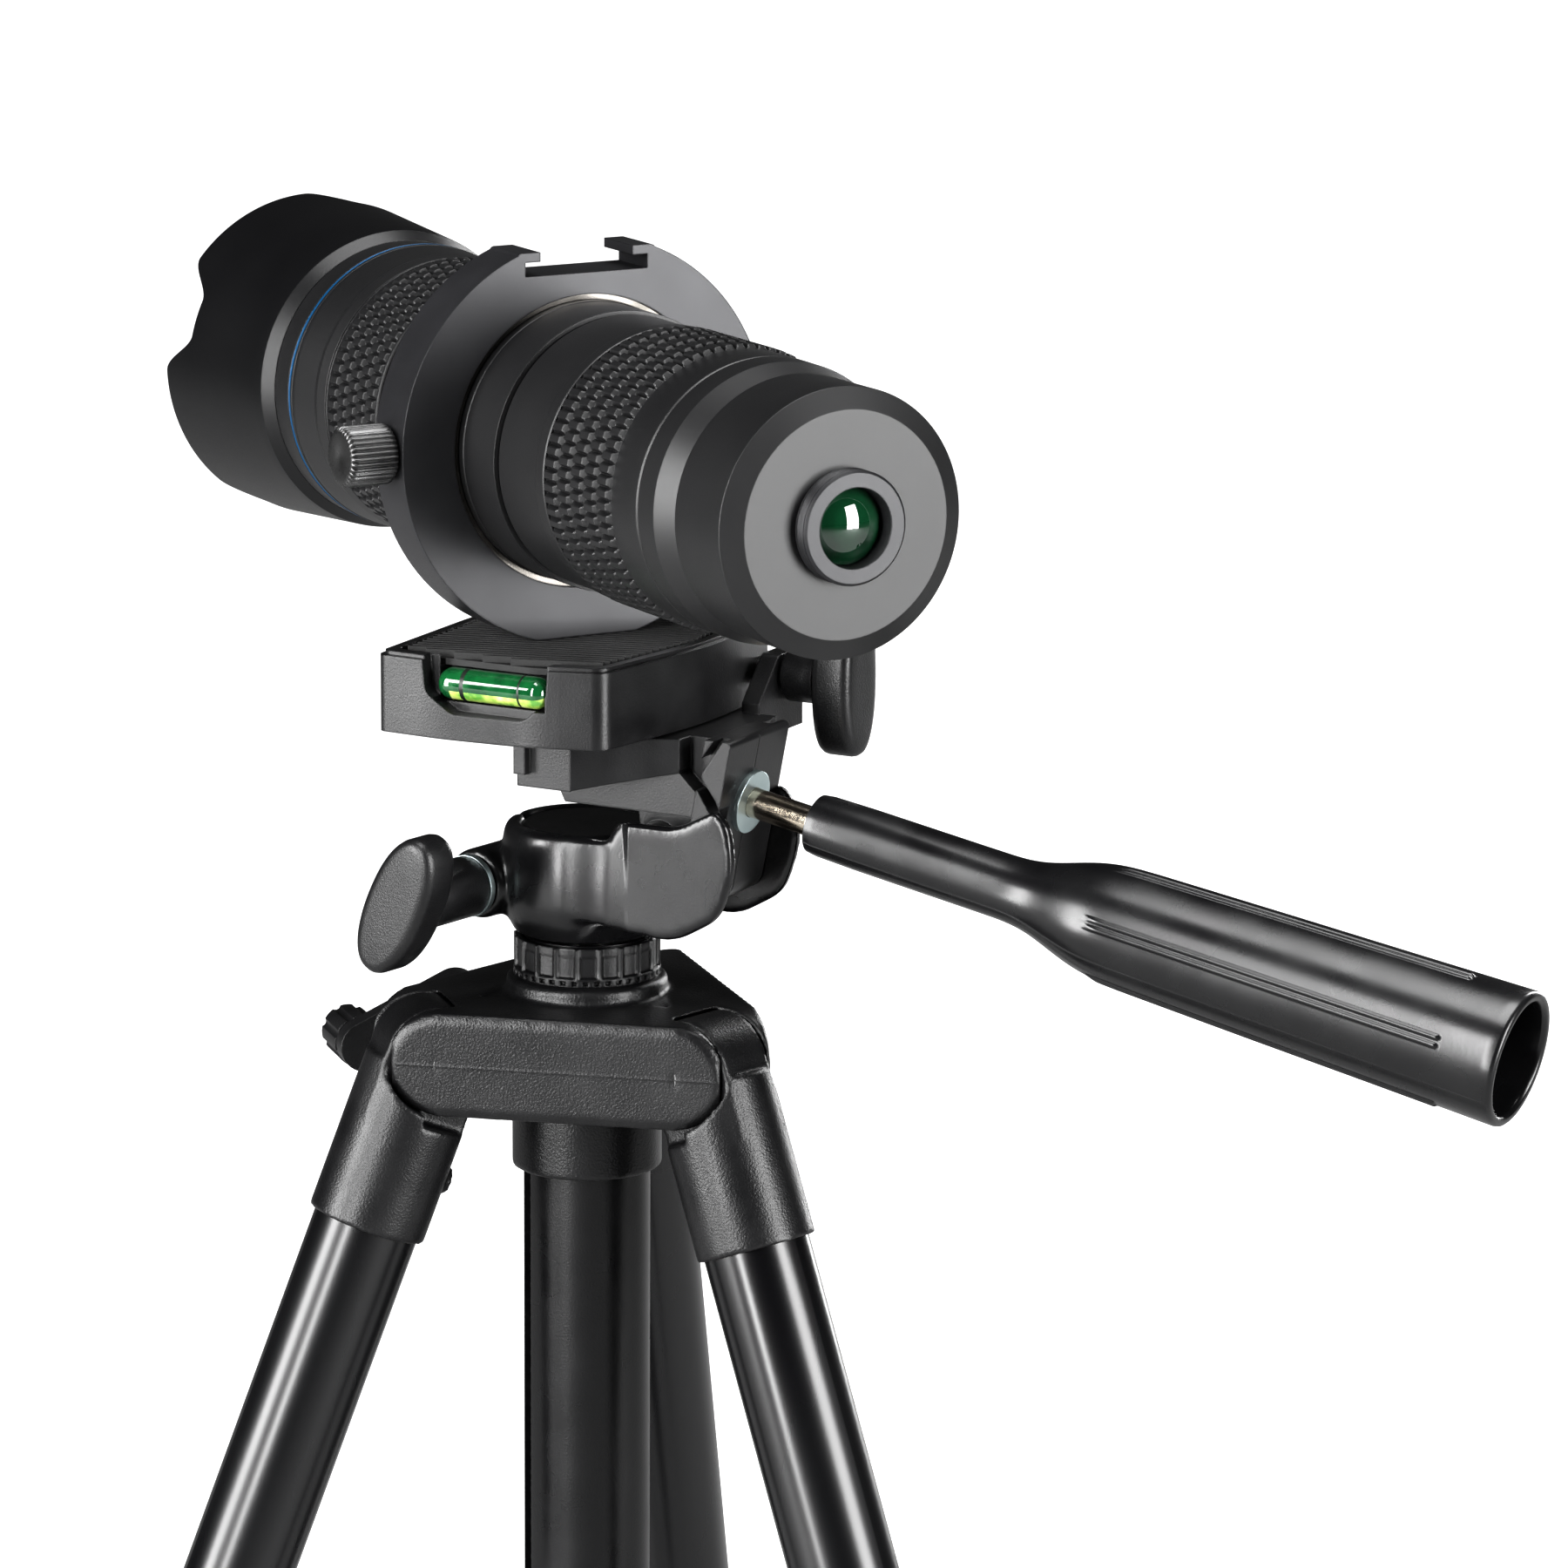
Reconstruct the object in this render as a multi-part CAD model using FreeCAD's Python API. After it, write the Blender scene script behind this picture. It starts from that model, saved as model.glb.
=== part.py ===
import FreeCAD, Part
import math
import os

# Zoom monocular in a mount ring, on a pan-and-tilt head and a small tripod.
# Millimetres, +Z up. The optic looks along +Y. The feet stand on z = 0.

# ---------------------------------------------------------------- driving dimensions
# where the column axis stands, so that the origin is the middle of the base
COLUMN_X = 18.56
COLUMN_Y = 19.31

# tripod legs
LEG_AZIMUTHS = {"right": -71.4, "back": 48.6, "left": 168.6}
LEG_SPREAD = 20.94            # from vertical, degrees
LEG_PIVOT_R = 25.7            # leg hinge pin from the column axis
LEG_LENGTH = 276.0            # hinge pin to centre of foot
FOOT_R = 7.5
PIVOT_Z = LEG_LENGTH * math.cos(math.radians(LEG_SPREAD)) + FOOT_R
TONGUE_R = 8.2
TONGUE_HALF = 5.0
EAR_R = 8.4
CASTING_R = 9.4
CASTING_END = 29.0
UPPER_TUBE_R = 8.4
UPPER_TUBE_BORE = 7.2
UPPER_TUBE_END = 158.0
LOWER_TUBE_R = 6.6
LOWER_TUBE_BORE = 5.4
COLLAR_END = 172.0

# centre column and its drive
COLUMN_R = 10.0
COLUMN_BORE = 8.9
COLUMN_TOP = 17.3
COLUMN_BOTTOM = -194.0
GUIDE_BORE = 10.08
CRANK_AZIMUTH = 78.6          # direction of the crank shaft
RACK_AZIMUTH = 168.6          # side of the column that carries the rack
MODULE = 0.9
PINION_TEETH = 8
PITCH_R = MODULE * PINION_TEETH / 2.0
PITCH_LINE = 8.3
PINION_Q = PITCH_LINE + PITCH_R
SHAFT_H = -0.6
SHAFT_R = 1.9
RACK_HALF = 1.8               # half width of the rack and of its slot in the column
CRANK_RADIUS = 17.0
CRANK_DROOP = 24.0            # rest angle of the crank arm below level

# head
PAN_REST = 32.0               # turn of the head about the column at rest
BARREL_R = 13.5
BARREL_BOTTOM = 17.9
BARREL_TOP = 35.4
CAP_R = 10.15
TILT_Y = -16.5                # tilt axle, behind the column axis
TILT_H = 35.0
CHEEK_R = 15.2
CHEEK_IN = 9.8
CHEEK_OUT = 13.0
HANDLE_DROOP = 10.7           # handle below level, degrees
HANDLE_Y = -29.57             # outer face of the handle washer
HANDLE_H = 41.44
PAN_SCREW_OFFSET = 12.0
PAN_SCREW_H = 25.6
PAN_SCREW_TURN = 171.0        # direction of the pan clamp screw in the head
FLIP_X = 22.0                 # hinge of the platform
FLIP_H = 57.3
PLATFORM_BOTTOM = 52.6
PLATFORM_TOP = 64.6
PAD_BOTTOM = 63.4
PAD_TOP = 65.5

# optic and mount ring
OPTIC_X = -1.97
OPTIC_H = 96.03
RING_Y0 = -3.63
RING_Y1 = 5.67
RING_R = 31.7
RING_BORE = 22.8
SEAT_R = 21.85
RUN_GAP = 0.05                # radial clearance of a running fit

# ---------------------------------------------------------------- helpers
ORIGIN = FreeCAD.Vector(0, 0, 0)
AXIS_X = FreeCAD.Vector(1, 0, 0)
AXIS_Y = FreeCAD.Vector(0, 1, 0)
AXIS_Z = FreeCAD.Vector(0, 0, 1)
NODES = {}


def vec(x, y, z):
    return FreeCAD.Vector(x, y, z)


def box(x0, x1, y0, y1, z0, z1):
    return Part.makeBox(x1 - x0, y1 - y0, z1 - z0, vec(x0, y0, z0))


def rod(radius, start, end):
    """Solid cylinder between two points."""
    axis = end - start
    return Part.makeCylinder(radius, axis.Length, start, axis)


def disc(radius, z0, z1, x=0.0, y=0.0):
    """Upright cylinder."""
    return Part.makeCylinder(radius, z1 - z0, vec(x, y, z0))


def pipe(outer, inner, z0, z1):
    return disc(outer, z0, z1).cut(disc(inner, z0 - 1.0, z1 + 1.0))


def turned(profile):
    """Closed (radius, height) polygon turned about the Z axis."""
    points = [vec(r, 0, z) for r, z in profile]
    face = Part.Face(Part.makePolygon(points + [points[0]]))
    return face.revolve(ORIGIN, AXIS_Z, 360)


def outline(points):
    """Closed wire in the XY plane; each point is (u, v) or (u, v, corner radius)."""
    corners = [(FreeCAD.Vector(p[0], p[1], 0), p[2] if len(p) > 2 else 0.0) for p in points]
    count = len(corners)
    edges = []
    stops = []
    for i, (point, radius) in enumerate(corners):
        before = corners[i - 1][0]
        after = corners[(i + 1) % count][0]
        if radius <= 0:
            stops.append((point, None, point))
            continue
        to_before = (before - point).normalize()
        to_after = (after - point).normalize()
        half = to_before.getAngle(to_after) / 2.0
        reach = radius / math.tan(half)
        middle = (to_before + to_after).normalize()
        centre = point + middle * (radius / math.sin(half))
        stops.append((point + to_before * reach, centre - middle * radius, point + to_after * reach))
    for i, (start, mid, end) in enumerate(stops):
        if mid is not None:
            edges.append(Part.Arc(start, mid, end).toShape())
        following = stops[(i + 1) % count][0]
        if (following - end).Length > 1e-6:
            edges.append(Part.LineSegment(end, following).toShape())
    return Part.Wire(edges)


def prism(points, low, high, across="z"):
    """Outline pushed from low to high. across x: (u, v) = (y, z); y: (x, z); z: (x, y)."""
    solid = Part.Face(outline(points)).extrude(vec(0, 0, high - low))
    solid.translate(vec(0, 0, low))
    if across == "x":
        solid.rotate(ORIGIN, vec(1, 1, 1), 120)
    elif across == "y":
        solid.translate(vec(0, 0, -low - high))
        solid.rotate(ORIGIN, AXIS_X, 90)
    return solid


def fused(shapes):
    result = shapes[0].multiFuse(shapes[1:]) if len(shapes) > 1 else shapes[0]
    return result.removeSplitter()


def moved(shape, shift):
    copy = shape.copy()
    copy.translate(shift)
    return copy


def spun(shape, angle, axis=AXIS_Z, centre=ORIGIN):
    copy = shape.copy()
    copy.rotate(centre, axis, angle)
    return copy


def add(name, shape):
    solids = shape.Solids
    if len(solids) != 1:
        raise ValueError(name + " has " + str(len(solids)) + " solids")
    NODES[name] = solids[0]


def on_column(shape):
    """From heights above the leg pivots to the row frame."""
    return moved(shape, vec(COLUMN_X, COLUMN_Y, PIVOT_Z))


def on_head(shape):
    """From the head's own frame, handle along -Y, to the row frame."""
    return on_column(spun(shape, PAN_REST))


def on_optic(shape):
    """From a part turned about Z to the optic's axis, Z becoming +Y."""
    return on_column(moved(spun(shape, -90, AXIS_X), vec(OPTIC_X, 0, OPTIC_H)))


def on_leg(shape, azimuth):
    """From a leg's frame (hinge at the origin, leg along -Z, outwards +X) to the row frame."""
    leaned = spun(shape, -LEG_SPREAD, AXIS_Y)
    return on_column(spun(moved(leaned, vec(LEG_PIVOT_R, 0, 0)), azimuth))


def on_handle(shape):
    """From the handle's frame (washer face at the origin, grip along -Y) to the head frame."""
    return moved(spun(shape, HANDLE_DROOP, AXIS_X), vec(0, HANDLE_Y, HANDLE_H))


def gear_half_width(distance):
    """Half width of a rack tooth at a distance outside the pitch line."""
    return MODULE * math.pi / 4.0 - distance * math.tan(math.radians(25)) - 0.06


# ---------------------------------------------------------------- shoulder casting
def pill_bar(azimuth):
    """One of the three long rounded bars between two leg hinges."""
    half = 18.8
    end_r = 8.25

    def pill(radius, near, far):
        ends = [rod(radius, vec(near, side * half, 0), vec(far, side * half, 0)) for side in (-1, 1)]
        return fused([box(near, far, -half, half, -radius, radius)] + ends)

    bar = pill(end_r, 9.0, 21.5)
    bar = fused([bar, pill(end_r - 1.1, 21.0, 22.0)])
    seam = box(21.75, 23.0, -half - 4.0, half + 4.0, -0.12, 0.12)
    return spun(bar.cut(seam), azimuth)


def leg_slot(azimuth):
    """Room for a leg's tongue and for the round of its casting."""
    tongue = fused([
        rod(TONGUE_R + 0.4, vec(LEG_PIVOT_R, -5.3, 0), vec(LEG_PIVOT_R, 5.3, 0)),
        box(LEG_PIVOT_R, 45.0, -5.3, 5.3, -12.0, 12.0),
        box(LEG_PIVOT_R - TONGUE_R - 0.4, 45.0, -5.3, 5.3, -12.0, 0.0),
    ])
    outer = box(LEG_PIVOT_R - 0.3, 45.0, -14.0, 14.0, -14.0, 14.0)
    ear = rod(EAR_R, vec(LEG_PIVOT_R, -15.0, 0), vec(LEG_PIVOT_R, 15.0, 0))
    return spun(fused([tongue, outer.cut(ear)]), azimuth)


def on_rack(shape):
    """From the rack's frame (+X towards the rack, crank on the -Y side) to the column's frame."""
    return spun(shape, RACK_AZIMUTH)


def shaft_point(along, reach=0.0, rise=0.0):
    """A point by the crank shaft, in the rack's frame."""
    return vec(PINION_Q + reach, -along, SHAFT_H + rise)


def shoulder_casting():
    bars = [pill_bar(azimuth) for azimuth in (-131.4, -11.4, 108.6)]
    hub = turned([(0, -20.2), (11.8, -20.2), (11.8, -8.0), (16.6, -8.0), (19.0, -6.0), (19.0, 6.4),
                  (16.6, 7.8), (12.7, 8.3), (12.7, 10.2), (12.2, 10.7), (10.95, 10.7), (10.95, 15.5),
                  (0, 15.5)])
    body = fused(bars + [hub])
    for azimuth in LEG_AZIMUTHS.values():
        body = body.cut(leg_slot(azimuth))
        pin = rod(2.0, vec(LEG_PIVOT_R, -9.5, 0), vec(LEG_PIVOT_R, 9.5, 0))
        body = body.cut(spun(pin, azimuth))
    boss = rod(4.6, shaft_point(8.0), shaft_point(30.6))
    body = fused([body, on_rack(boss)])
    window = fused([
        rod(PITCH_R + 1.1, shaft_point(2.2), shaft_point(-2.2)),
        box(6.0, PINION_Q, -2.2, 2.2, SHAFT_H - PITCH_R - 1.1, SHAFT_H + PITCH_R + 1.1),
    ])
    bore = rod(SHAFT_R + RUN_GAP, shaft_point(-6.5), shaft_point(40.0))
    return body.cut(on_rack(fused([window, bore]))).cut(disc(GUIDE_BORE, -30.0, 30.0))


def leg_pivot_pin(azimuth):
    return spun(rod(2.0, vec(LEG_PIVOT_R, -9.5, 0), vec(LEG_PIVOT_R, 9.5, 0)), azimuth)


def column_lock_ring():
    ring = turned([(11.03, 11.1), (11.6, 11.1), (11.6, 17.1), (10.3, 17.1), (10.3, 15.8), (11.03, 15.8)])
    flute = fused([disc(0.9, 11.6, 16.6, 11.6 + 0.55, 0.0)])
    for i in range(16):
        ring = ring.cut(spun(flute, i * 22.5))
    return ring


# ---------------------------------------------------------------- legs
def leg_casting():
    tongue = rod(TONGUE_R, vec(0, -TONGUE_HALF, 0), vec(0, TONGUE_HALF, 0))
    neck = box(-TONGUE_R, TONGUE_R, -TONGUE_HALF, TONGUE_HALF, -12.0, 0.0)
    sleeve = disc(CASTING_R, -CASTING_END, 0.0)
    sleeve = sleeve.cut(rod(EAR_R + 0.3, vec(0, -20, 0), vec(0, 20, 0)))
    sleeve = sleeve.cut(box(-20.0, 0.0, -20.0, 20.0, -10.5, 1.0))
    sleeve = sleeve.common(box(-20.0, 20.0, -20.0, 20.0, -40.0, -2.5))
    screw = rod(2.2, vec(-CASTING_R - 0.9, 0, -19.0), vec(-CASTING_R + 0.6, 0, -19.0))
    body = fused([tongue, neck, sleeve, screw])
    body = body.cut(rod(2.0 + RUN_GAP, vec(0, -6, 0), vec(0, 6, 0)))
    return body.cut(disc(UPPER_TUBE_R, -CASTING_END - 1.0, -13.0))


def upper_tube():
    return pipe(UPPER_TUBE_R, UPPER_TUBE_BORE, -UPPER_TUBE_END, -13.0)


def twist_collar():
    top = -UPPER_TUBE_END + 8.0
    return turned([(8.45, top), (9.2, top), (9.8, top - 1.5), (9.8, -COLLAR_END + 1.0), (9.3, -COLLAR_END),
                   (LOWER_TUBE_R + 0.3, -COLLAR_END), (LOWER_TUBE_R + 0.3, -UPPER_TUBE_END - 0.3),
                   (8.45, -UPPER_TUBE_END - 0.3)])


def lower_tube():
    return pipe(LOWER_TUBE_R, LOWER_TUBE_BORE, -LEG_LENGTH + 8.0, -118.0)


def foot():
    ball = Part.makeSphere(FOOT_R, vec(0, 0, -LEG_LENGTH))
    cup = turned([(0, -LEG_LENGTH), (7.3, -LEG_LENGTH), (8.1, -LEG_LENGTH + 6.0),
                  (8.1, -LEG_LENGTH + 17.0), (7.6, -LEG_LENGTH + 18.0), (0, -LEG_LENGTH + 18.0)])
    return fused([ball, cup]).cut(disc(LOWER_TUBE_R, -LEG_LENGTH + 8.0, -LEG_LENGTH + 20.0))


# ---------------------------------------------------------------- column and drive
def center_column():
    tube = pipe(COLUMN_R, COLUMN_BORE, COLUMN_BOTTOM + 6.0, COLUMN_TOP)
    return tube.cut(on_rack(box(0.0, 12.0, -RACK_HALF, RACK_HALF, -170.0, 12.0)))


def column_rack():
    """Straight rack, tooth centred on the shaft height."""
    pitch = math.pi * MODULE
    tip = PITCH_LINE + 0.6 * MODULE
    root = PITCH_LINE - 0.75 * MODULE
    points = [(5.4, -170.0)]
    count = int(165.0 / pitch)
    for i in range(-count, 4):
        middle = SHAFT_H + i * pitch
        if not -167.5 < middle < 10.0:
            continue
        for side in (-1, 1):
            stations = ((root, tip), (tip, root))[side > 0]
            for q in stations:
                points.append((q, middle + side * gear_half_width(q - PITCH_LINE)))
    points = [points[0], (root, -170.0)] + points[1:] + [(root, 12.0), (5.4, 12.0)]
    return on_rack(prism(points, -RACK_HALF, RACK_HALF, across="y"))


def crank_shaft():
    """Pinion and shaft in one; a tooth gap faces the rack."""
    base = PITCH_R * math.cos(math.radians(25))
    half_at_pitch = (MODULE * math.pi / 4.0 - 0.06) / PITCH_R
    slope = math.tan(math.radians(25)) - math.radians(25)
    radii = [2.85, base, base + 0.2, base + 0.45, PITCH_R + 0.25, PITCH_R + 0.6 * MODULE]

    def half_angle(radius):
        turn = math.acos(min(1.0, base / max(radius, base)))
        return half_at_pitch + slope - (math.tan(turn) - turn)

    points = []
    for i in range(PINION_TEETH):
        middle = math.pi + (i + 0.5) * 2 * math.pi / PINION_TEETH
        flank = [(r, -half_angle(r)) for r in radii] + [(r, half_angle(r)) for r in reversed(radii)]
        for radius, turn in flank:
            angle = middle + turn
            points.append((PINION_Q + radius * math.cos(angle), SHAFT_H + radius * math.sin(angle)))
    pinion = prism(points, -1.7, 1.7, across="y")
    shaft = rod(SHAFT_R, shaft_point(-6.2), shaft_point(35.4))
    return on_rack(fused([pinion, shaft]))


def crank_arm():
    """Flat arm from the shaft to the knob, drooping at rest."""
    blade = prism([(-4.4, -4.4, 4.3), (CRANK_RADIUS + 4.0, -4.0, 3.9),
                   (CRANK_RADIUS + 4.0, 4.0, 3.9), (-4.4, 4.4, 4.3)], 32.2, 35.4, across="y")
    hub = rod(4.4, vec(0, 30.9, 0), vec(0, 33.0, 0))
    stud = rod(1.6, vec(CRANK_RADIUS, 35.0, 0), vec(CRANK_RADIUS, 43.0, 0))
    arm = fused([blade, hub, stud]).cut(rod(SHAFT_R, vec(0, 30.0, 0), vec(0, 36.0, 0)))
    return on_rack(crank_placed(arm))


def crank_placed(shape):
    """From the crank's frame (arm along +X, knob on the +Y side) to the rack's frame."""
    turned_over = spun(shape, 180, AXIS_X)
    return moved(spun(turned_over, CRANK_DROOP, AXIS_Y), vec(PINION_Q, 0, SHAFT_H))


def crank_knob():
    knob = rod(4.2, vec(CRANK_RADIUS, 35.7, 0), vec(CRANK_RADIUS, 44.0, 0))
    knob = knob.cut(rod(1.6 + RUN_GAP, vec(CRANK_RADIUS, 35.0, 0), vec(CRANK_RADIUS, 43.1, 0)))
    for i in range(8):
        angle = math.radians(i * 45)
        x = CRANK_RADIUS + 4.6 * math.cos(angle)
        z = 4.6 * math.sin(angle)
        knob = knob.cut(rod(0.8, vec(x, 35.0, z), vec(x, 45.0, z)))
    return on_rack(crank_placed(knob))


def pan_spindle():
    return turned([(0, -6.0), (COLUMN_BORE, -6.0), (COLUMN_BORE, COLUMN_TOP), (5.0, COLUMN_TOP), (5.0, 28.8),
                   (7.0, 28.8), (7.0, 31.0), (0, 31.0)]).cut(on_rack(box(5.4, 12.0, -RACK_HALF, RACK_HALF, -8.0, 12.0)))


def column_end_cap():
    top = COLUMN_BOTTOM + 6.0
    cap = turned([(0, COLUMN_BOTTOM), (8.6, COLUMN_BOTTOM), (COLUMN_R, COLUMN_BOTTOM + 1.4), (COLUMN_R, top),
                  (COLUMN_BORE, top), (COLUMN_BORE, top + 8.0), (0, top + 8.0)])
    return cap.cut(disc(2.0 + RUN_GAP, COLUMN_BOTTOM - 1.0, COLUMN_BOTTOM + 9.0))


def weight_hook():
    """Swivel post with a flat eye."""
    eye = rod(7.0, vec(0, -1.5, COLUMN_BOTTOM - 8.0), vec(0, 1.5, COLUMN_BOTTOM - 8.0))
    neck = disc(2.0, COLUMN_BOTTOM - 4.0, COLUMN_BOTTOM + 8.5)
    shoulder = disc(3.4, COLUMN_BOTTOM - 2.4, COLUMN_BOTTOM - 0.4)
    hole = rod(4.0, vec(0, -3.0, COLUMN_BOTTOM - 8.0), vec(0, 3.0, COLUMN_BOTTOM - 8.0))
    return fused([eye, neck, shoulder]).cut(hole)


# ---------------------------------------------------------------- pan housing
def screw_frame(shape):
    """From the pan screw's frame (screw along +X from the nearest point to the column) to the head."""
    turn = PAN_SCREW_TURN
    out = math.radians(turn - 90.0)
    shift = vec(PAN_SCREW_OFFSET * math.cos(out), PAN_SCREW_OFFSET * math.sin(out), PAN_SCREW_H)
    return moved(spun(shape, turn), shift)


def pan_housing():
    barrel = turned([(0, BARREL_BOTTOM), (11.6, BARREL_BOTTOM), (12.9, BARREL_BOTTOM + 2.6),
                     (BARREL_R, BARREL_BOTTOM + 5.6), (BARREL_R, 34.2), (12.9, BARREL_TOP), (0, BARREL_TOP)])
    cheek = [(-4.0, 22.4), (-12.0, 21.2, 12.0), (-21.4, 20.4, 9.0), (-29.5, 25.0, 7.0), (-32.2, 33.0, 12.0),
             (-31.2, 40.0, 4.0), (-28.7, 42.2, 1.2), (-22.0, 38.6, 8.0), (-12.6, 38.4, 3.0),
             (-10.2, 35.0, 1.5), (-4.0, 35.0)]
    sides = [prism(cheek, CHEEK_IN, CHEEK_OUT, across="x"), prism(cheek, -CHEEK_OUT, -CHEEK_IN, across="x")]
    boss = screw_frame(rod(5.6, vec(3.0, 0, 0), vec(13.5, 0, 0)))
    body = fused([barrel, boss] + sides)
    body = body.cut(disc(5.0 + RUN_GAP, 10.0, 30.0)).cut(disc(7.4, 28.6, 40.0))
    body = body.cut(disc(CAP_R, 33.2, 40.0))
    body = body.cut(rod(3.6, vec(-CHEEK_IN, TILT_Y, TILT_H), vec(CHEEK_IN, TILT_Y, TILT_H)))
    body = body.cut(rod(2.0, vec(-12.2, TILT_Y, TILT_H), vec(12.2, TILT_Y, TILT_H)))
    body = body.cut(screw_frame(rod(2.0 + RUN_GAP, vec(-6.2, 0, 0), vec(14.0, 0, 0))))
    slit = box(2.2, 3.0, -8.5, 9.0, BARREL_BOTTOM - PAN_SCREW_H - 1.0, 12.0)
    return body.cut(screw_frame(slit))


def pan_cap():
    return turned([(0, 33.2), (CAP_R, 33.2), (CAP_R, 34.6), (CAP_R - 0.5, 35.0), (0, 35.2)])


def tilt_axle():
    return rod(2.0, vec(-12.2, TILT_Y, TILT_H), vec(12.2, TILT_Y, TILT_H))


def paddle(start, thickness):
    """Oval grip of a clamp knob, long way up, with a round neck. Screw along +X."""
    blade = prism([(-12.2, -4.6, 4.5), (12.2, -4.9, 4.8), (12.2, 4.9, 4.8), (-12.2, 4.6, 4.5)],
                  start, start + thickness, across="x")
    return spun(blade, 90, AXIS_X)


def pan_knob():
    blade = spun(paddle(26.3, 7.0), -27.0, AXIS_X)
    neck = rod(4.8, vec(14.9, 0, 0), vec(27.0, 0, 0))
    knob = fused([blade, neck]).cut(rod(2.0, vec(14.0, 0, 0), vec(22.0, 0, 0)))
    return screw_frame(knob)


def pan_knob_screw():
    shank = rod(2.0, vec(-5.8, 0, 0), vec(22.0, 0, 0))
    washer = rod(4.9, vec(13.9, 0, 0), vec(14.9, 0, 0))
    return screw_frame(fused([shank, washer]))


# ---------------------------------------------------------------- tilt casting
def tilt_bracket():
    """Rear plate, knuckle between the cheeks, saddle under the platform and hinge lugs."""
    web_low = PLATFORM_BOTTOM - 3.8
    web_high = PLATFORM_BOTTOM - 0.3
    plate = on_handle(prism([(0.9, -17.4, 3.6), (5.4, -17.4, 0.6), (5.4, 10.4), (0.9, 11.2, 0.8)],
                            -9.5, 9.5, across="x"))
    tongue = fused([
        prism([(-13.3, 35.0), (-12.4, 41.0), (-12.4, web_high), (-28.3, web_high), (-24.2, 30.2),
               (-17.2, 31.9)], -6.0, 6.0, across="x"),
        rod(3.2, vec(-9.5, TILT_Y, TILT_H), vec(9.5, TILT_Y, TILT_H)),
    ])
    knuckle = prism([(-0.6, 41.8, 0.4), (-1.4, 40.2, 0.4), (-26.6, 40.2), (-27.0, 41.2), (-25.4, 43.4, 12.0),
                     (-21.6, 47.0), (-21.6, web_high), (-0.6, web_high)], -9.3, 9.3, across="x")
    saddle = prism([(-17.0, 2.9, 0.6), (-17.0, -6.7, 0.6), (-13.6, -12.5, 20.0), (-9.6, -21.8), (9.6, -21.8),
                    (13.6, -12.5, 20.0), (17.0, -6.7, 0.6), (17.0, 2.9, 0.6)], 43.8, web_high)
    saddle = saddle.cut(prism([(-6.7, 43.9), (-22.5, 47.2), (-22.5, 40.0), (-6.7, 40.0)], -20.0, 20.0,
                              across="x"))
    latch = box(-18.6, -16.0, 0.4, 2.4, 46.0, 50.4)
    web = box(-6.0, 13.0, -26.5, 2.9, web_low + 1.2, web_high)
    lug_plate = box(11.0, 26.3, -24.0, 25.0, PLATFORM_BOTTOM - 4.2, PLATFORM_BOTTOM - 2.4)
    ears = []
    for y0, y1 in ((-24.0, -20.9), (22.3, 25.0)):
        ear = prism([(12.0, PLATFORM_BOTTOM - 4.2), (26.3, PLATFORM_BOTTOM - 4.2), (26.3, 55.0),
                     (25.4, FLIP_H + 3.4, 1.5), (18.6, FLIP_H + 3.4, 1.5), (12.0, 54.0)], y0, y1, across="y")
        ears.append(ear)
    body = fused([plate, tongue, knuckle, saddle, latch, web, lug_plate] + ears)
    lower_gap = [(-21.6, 47.4), (-25.0, 44.4), (-27.0, 41.2), (-27.8, 38.0), (-30.4, 38.0), (-29.5, 40.2),
                 (-28.1, 43.3), (-25.4, 46.8)]
    upper_gap = [(-25.7, 45.6), (-24.2, 46.6), (-24.3, 47.9), (-27.8, 52.8), (-29.4, 52.8), (-25.7, 47.4)]
    for low, high in ((6.4, 12.0), (-12.0, -6.4)):
        body = body.cut(prism(lower_gap, low, high, across="x"))
        body = body.cut(prism(upper_gap, low, high, across="x"))
    body = body.cut(rod(2.0 + RUN_GAP, vec(-12.0, TILT_Y, TILT_H), vec(12.0, TILT_Y, TILT_H)))
    body = body.cut(rod(2.0 + RUN_GAP, vec(FLIP_X, -30.0, FLIP_H), vec(FLIP_X, 30.0, FLIP_H)))
    seam = on_handle(box(-0.12, 0.12, 0.7, 1.12, -18.0, 12.0))
    return body.cut(seam).cut(on_handle(rod(2.4, vec(0, 8.5, 0), vec(0, 0.0, 0))))


def handle_washer():
    return on_handle(rod(5.0, vec(0, 0.9, 0), vec(0, 0, 0)).cut(rod(2.4, vec(0, 2.0, 0), vec(0, -1.0, 0))))


def handle_turned(profile):
    """(radius, distance from the washer) polygon turned about the handle."""
    return on_handle(spun(turned(profile), 90, AXIS_X))


def handle_rod():
    return handle_turned([(0, -8.0), (2.35, -8.0), (2.35, 28.0), (0, 28.0)])


def handle_grip():
    outside = [(2.35, 11.0), (4.3, 11.0), (4.9, 11.7), (5.0, 47.0), (5.5, 50.0), (7.6, 56.0), (8.6, 60.0),
               (9.0, 63.0), (10.1, 110.0), (10.5, 128.6), (10.2, 130.4)]
    inside = [(8.8, 130.4), (8.6, 120.0), (7.6, 70.0), (3.4, 62.0), (3.4, 28.4), (2.35, 28.4)]
    return handle_turned(outside + inside)


# ---------------------------------------------------------------- platform
PLATFORM_PLAN = [(-28.2, 20.9, 1.6), (-28.8, 9.0, 60.0), (-27.6, -5.5, 40.0), (-23.9, -16.6, 3.0),
                 (3.0, -20.7, 90.0), (26.9, -18.0, 2.0), (27.3, 1.0, 60.0), (26.9, 20.4, 2.0),
                 (2.0, 22.2, 90.0)]


def shrunk(plan, scale):
    """Plan outline drawn in about the platform's middle."""
    middle_y = 1.0
    return [(x * scale, middle_y + (y - middle_y) * scale, r * scale) for x, y, r in plan]


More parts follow.
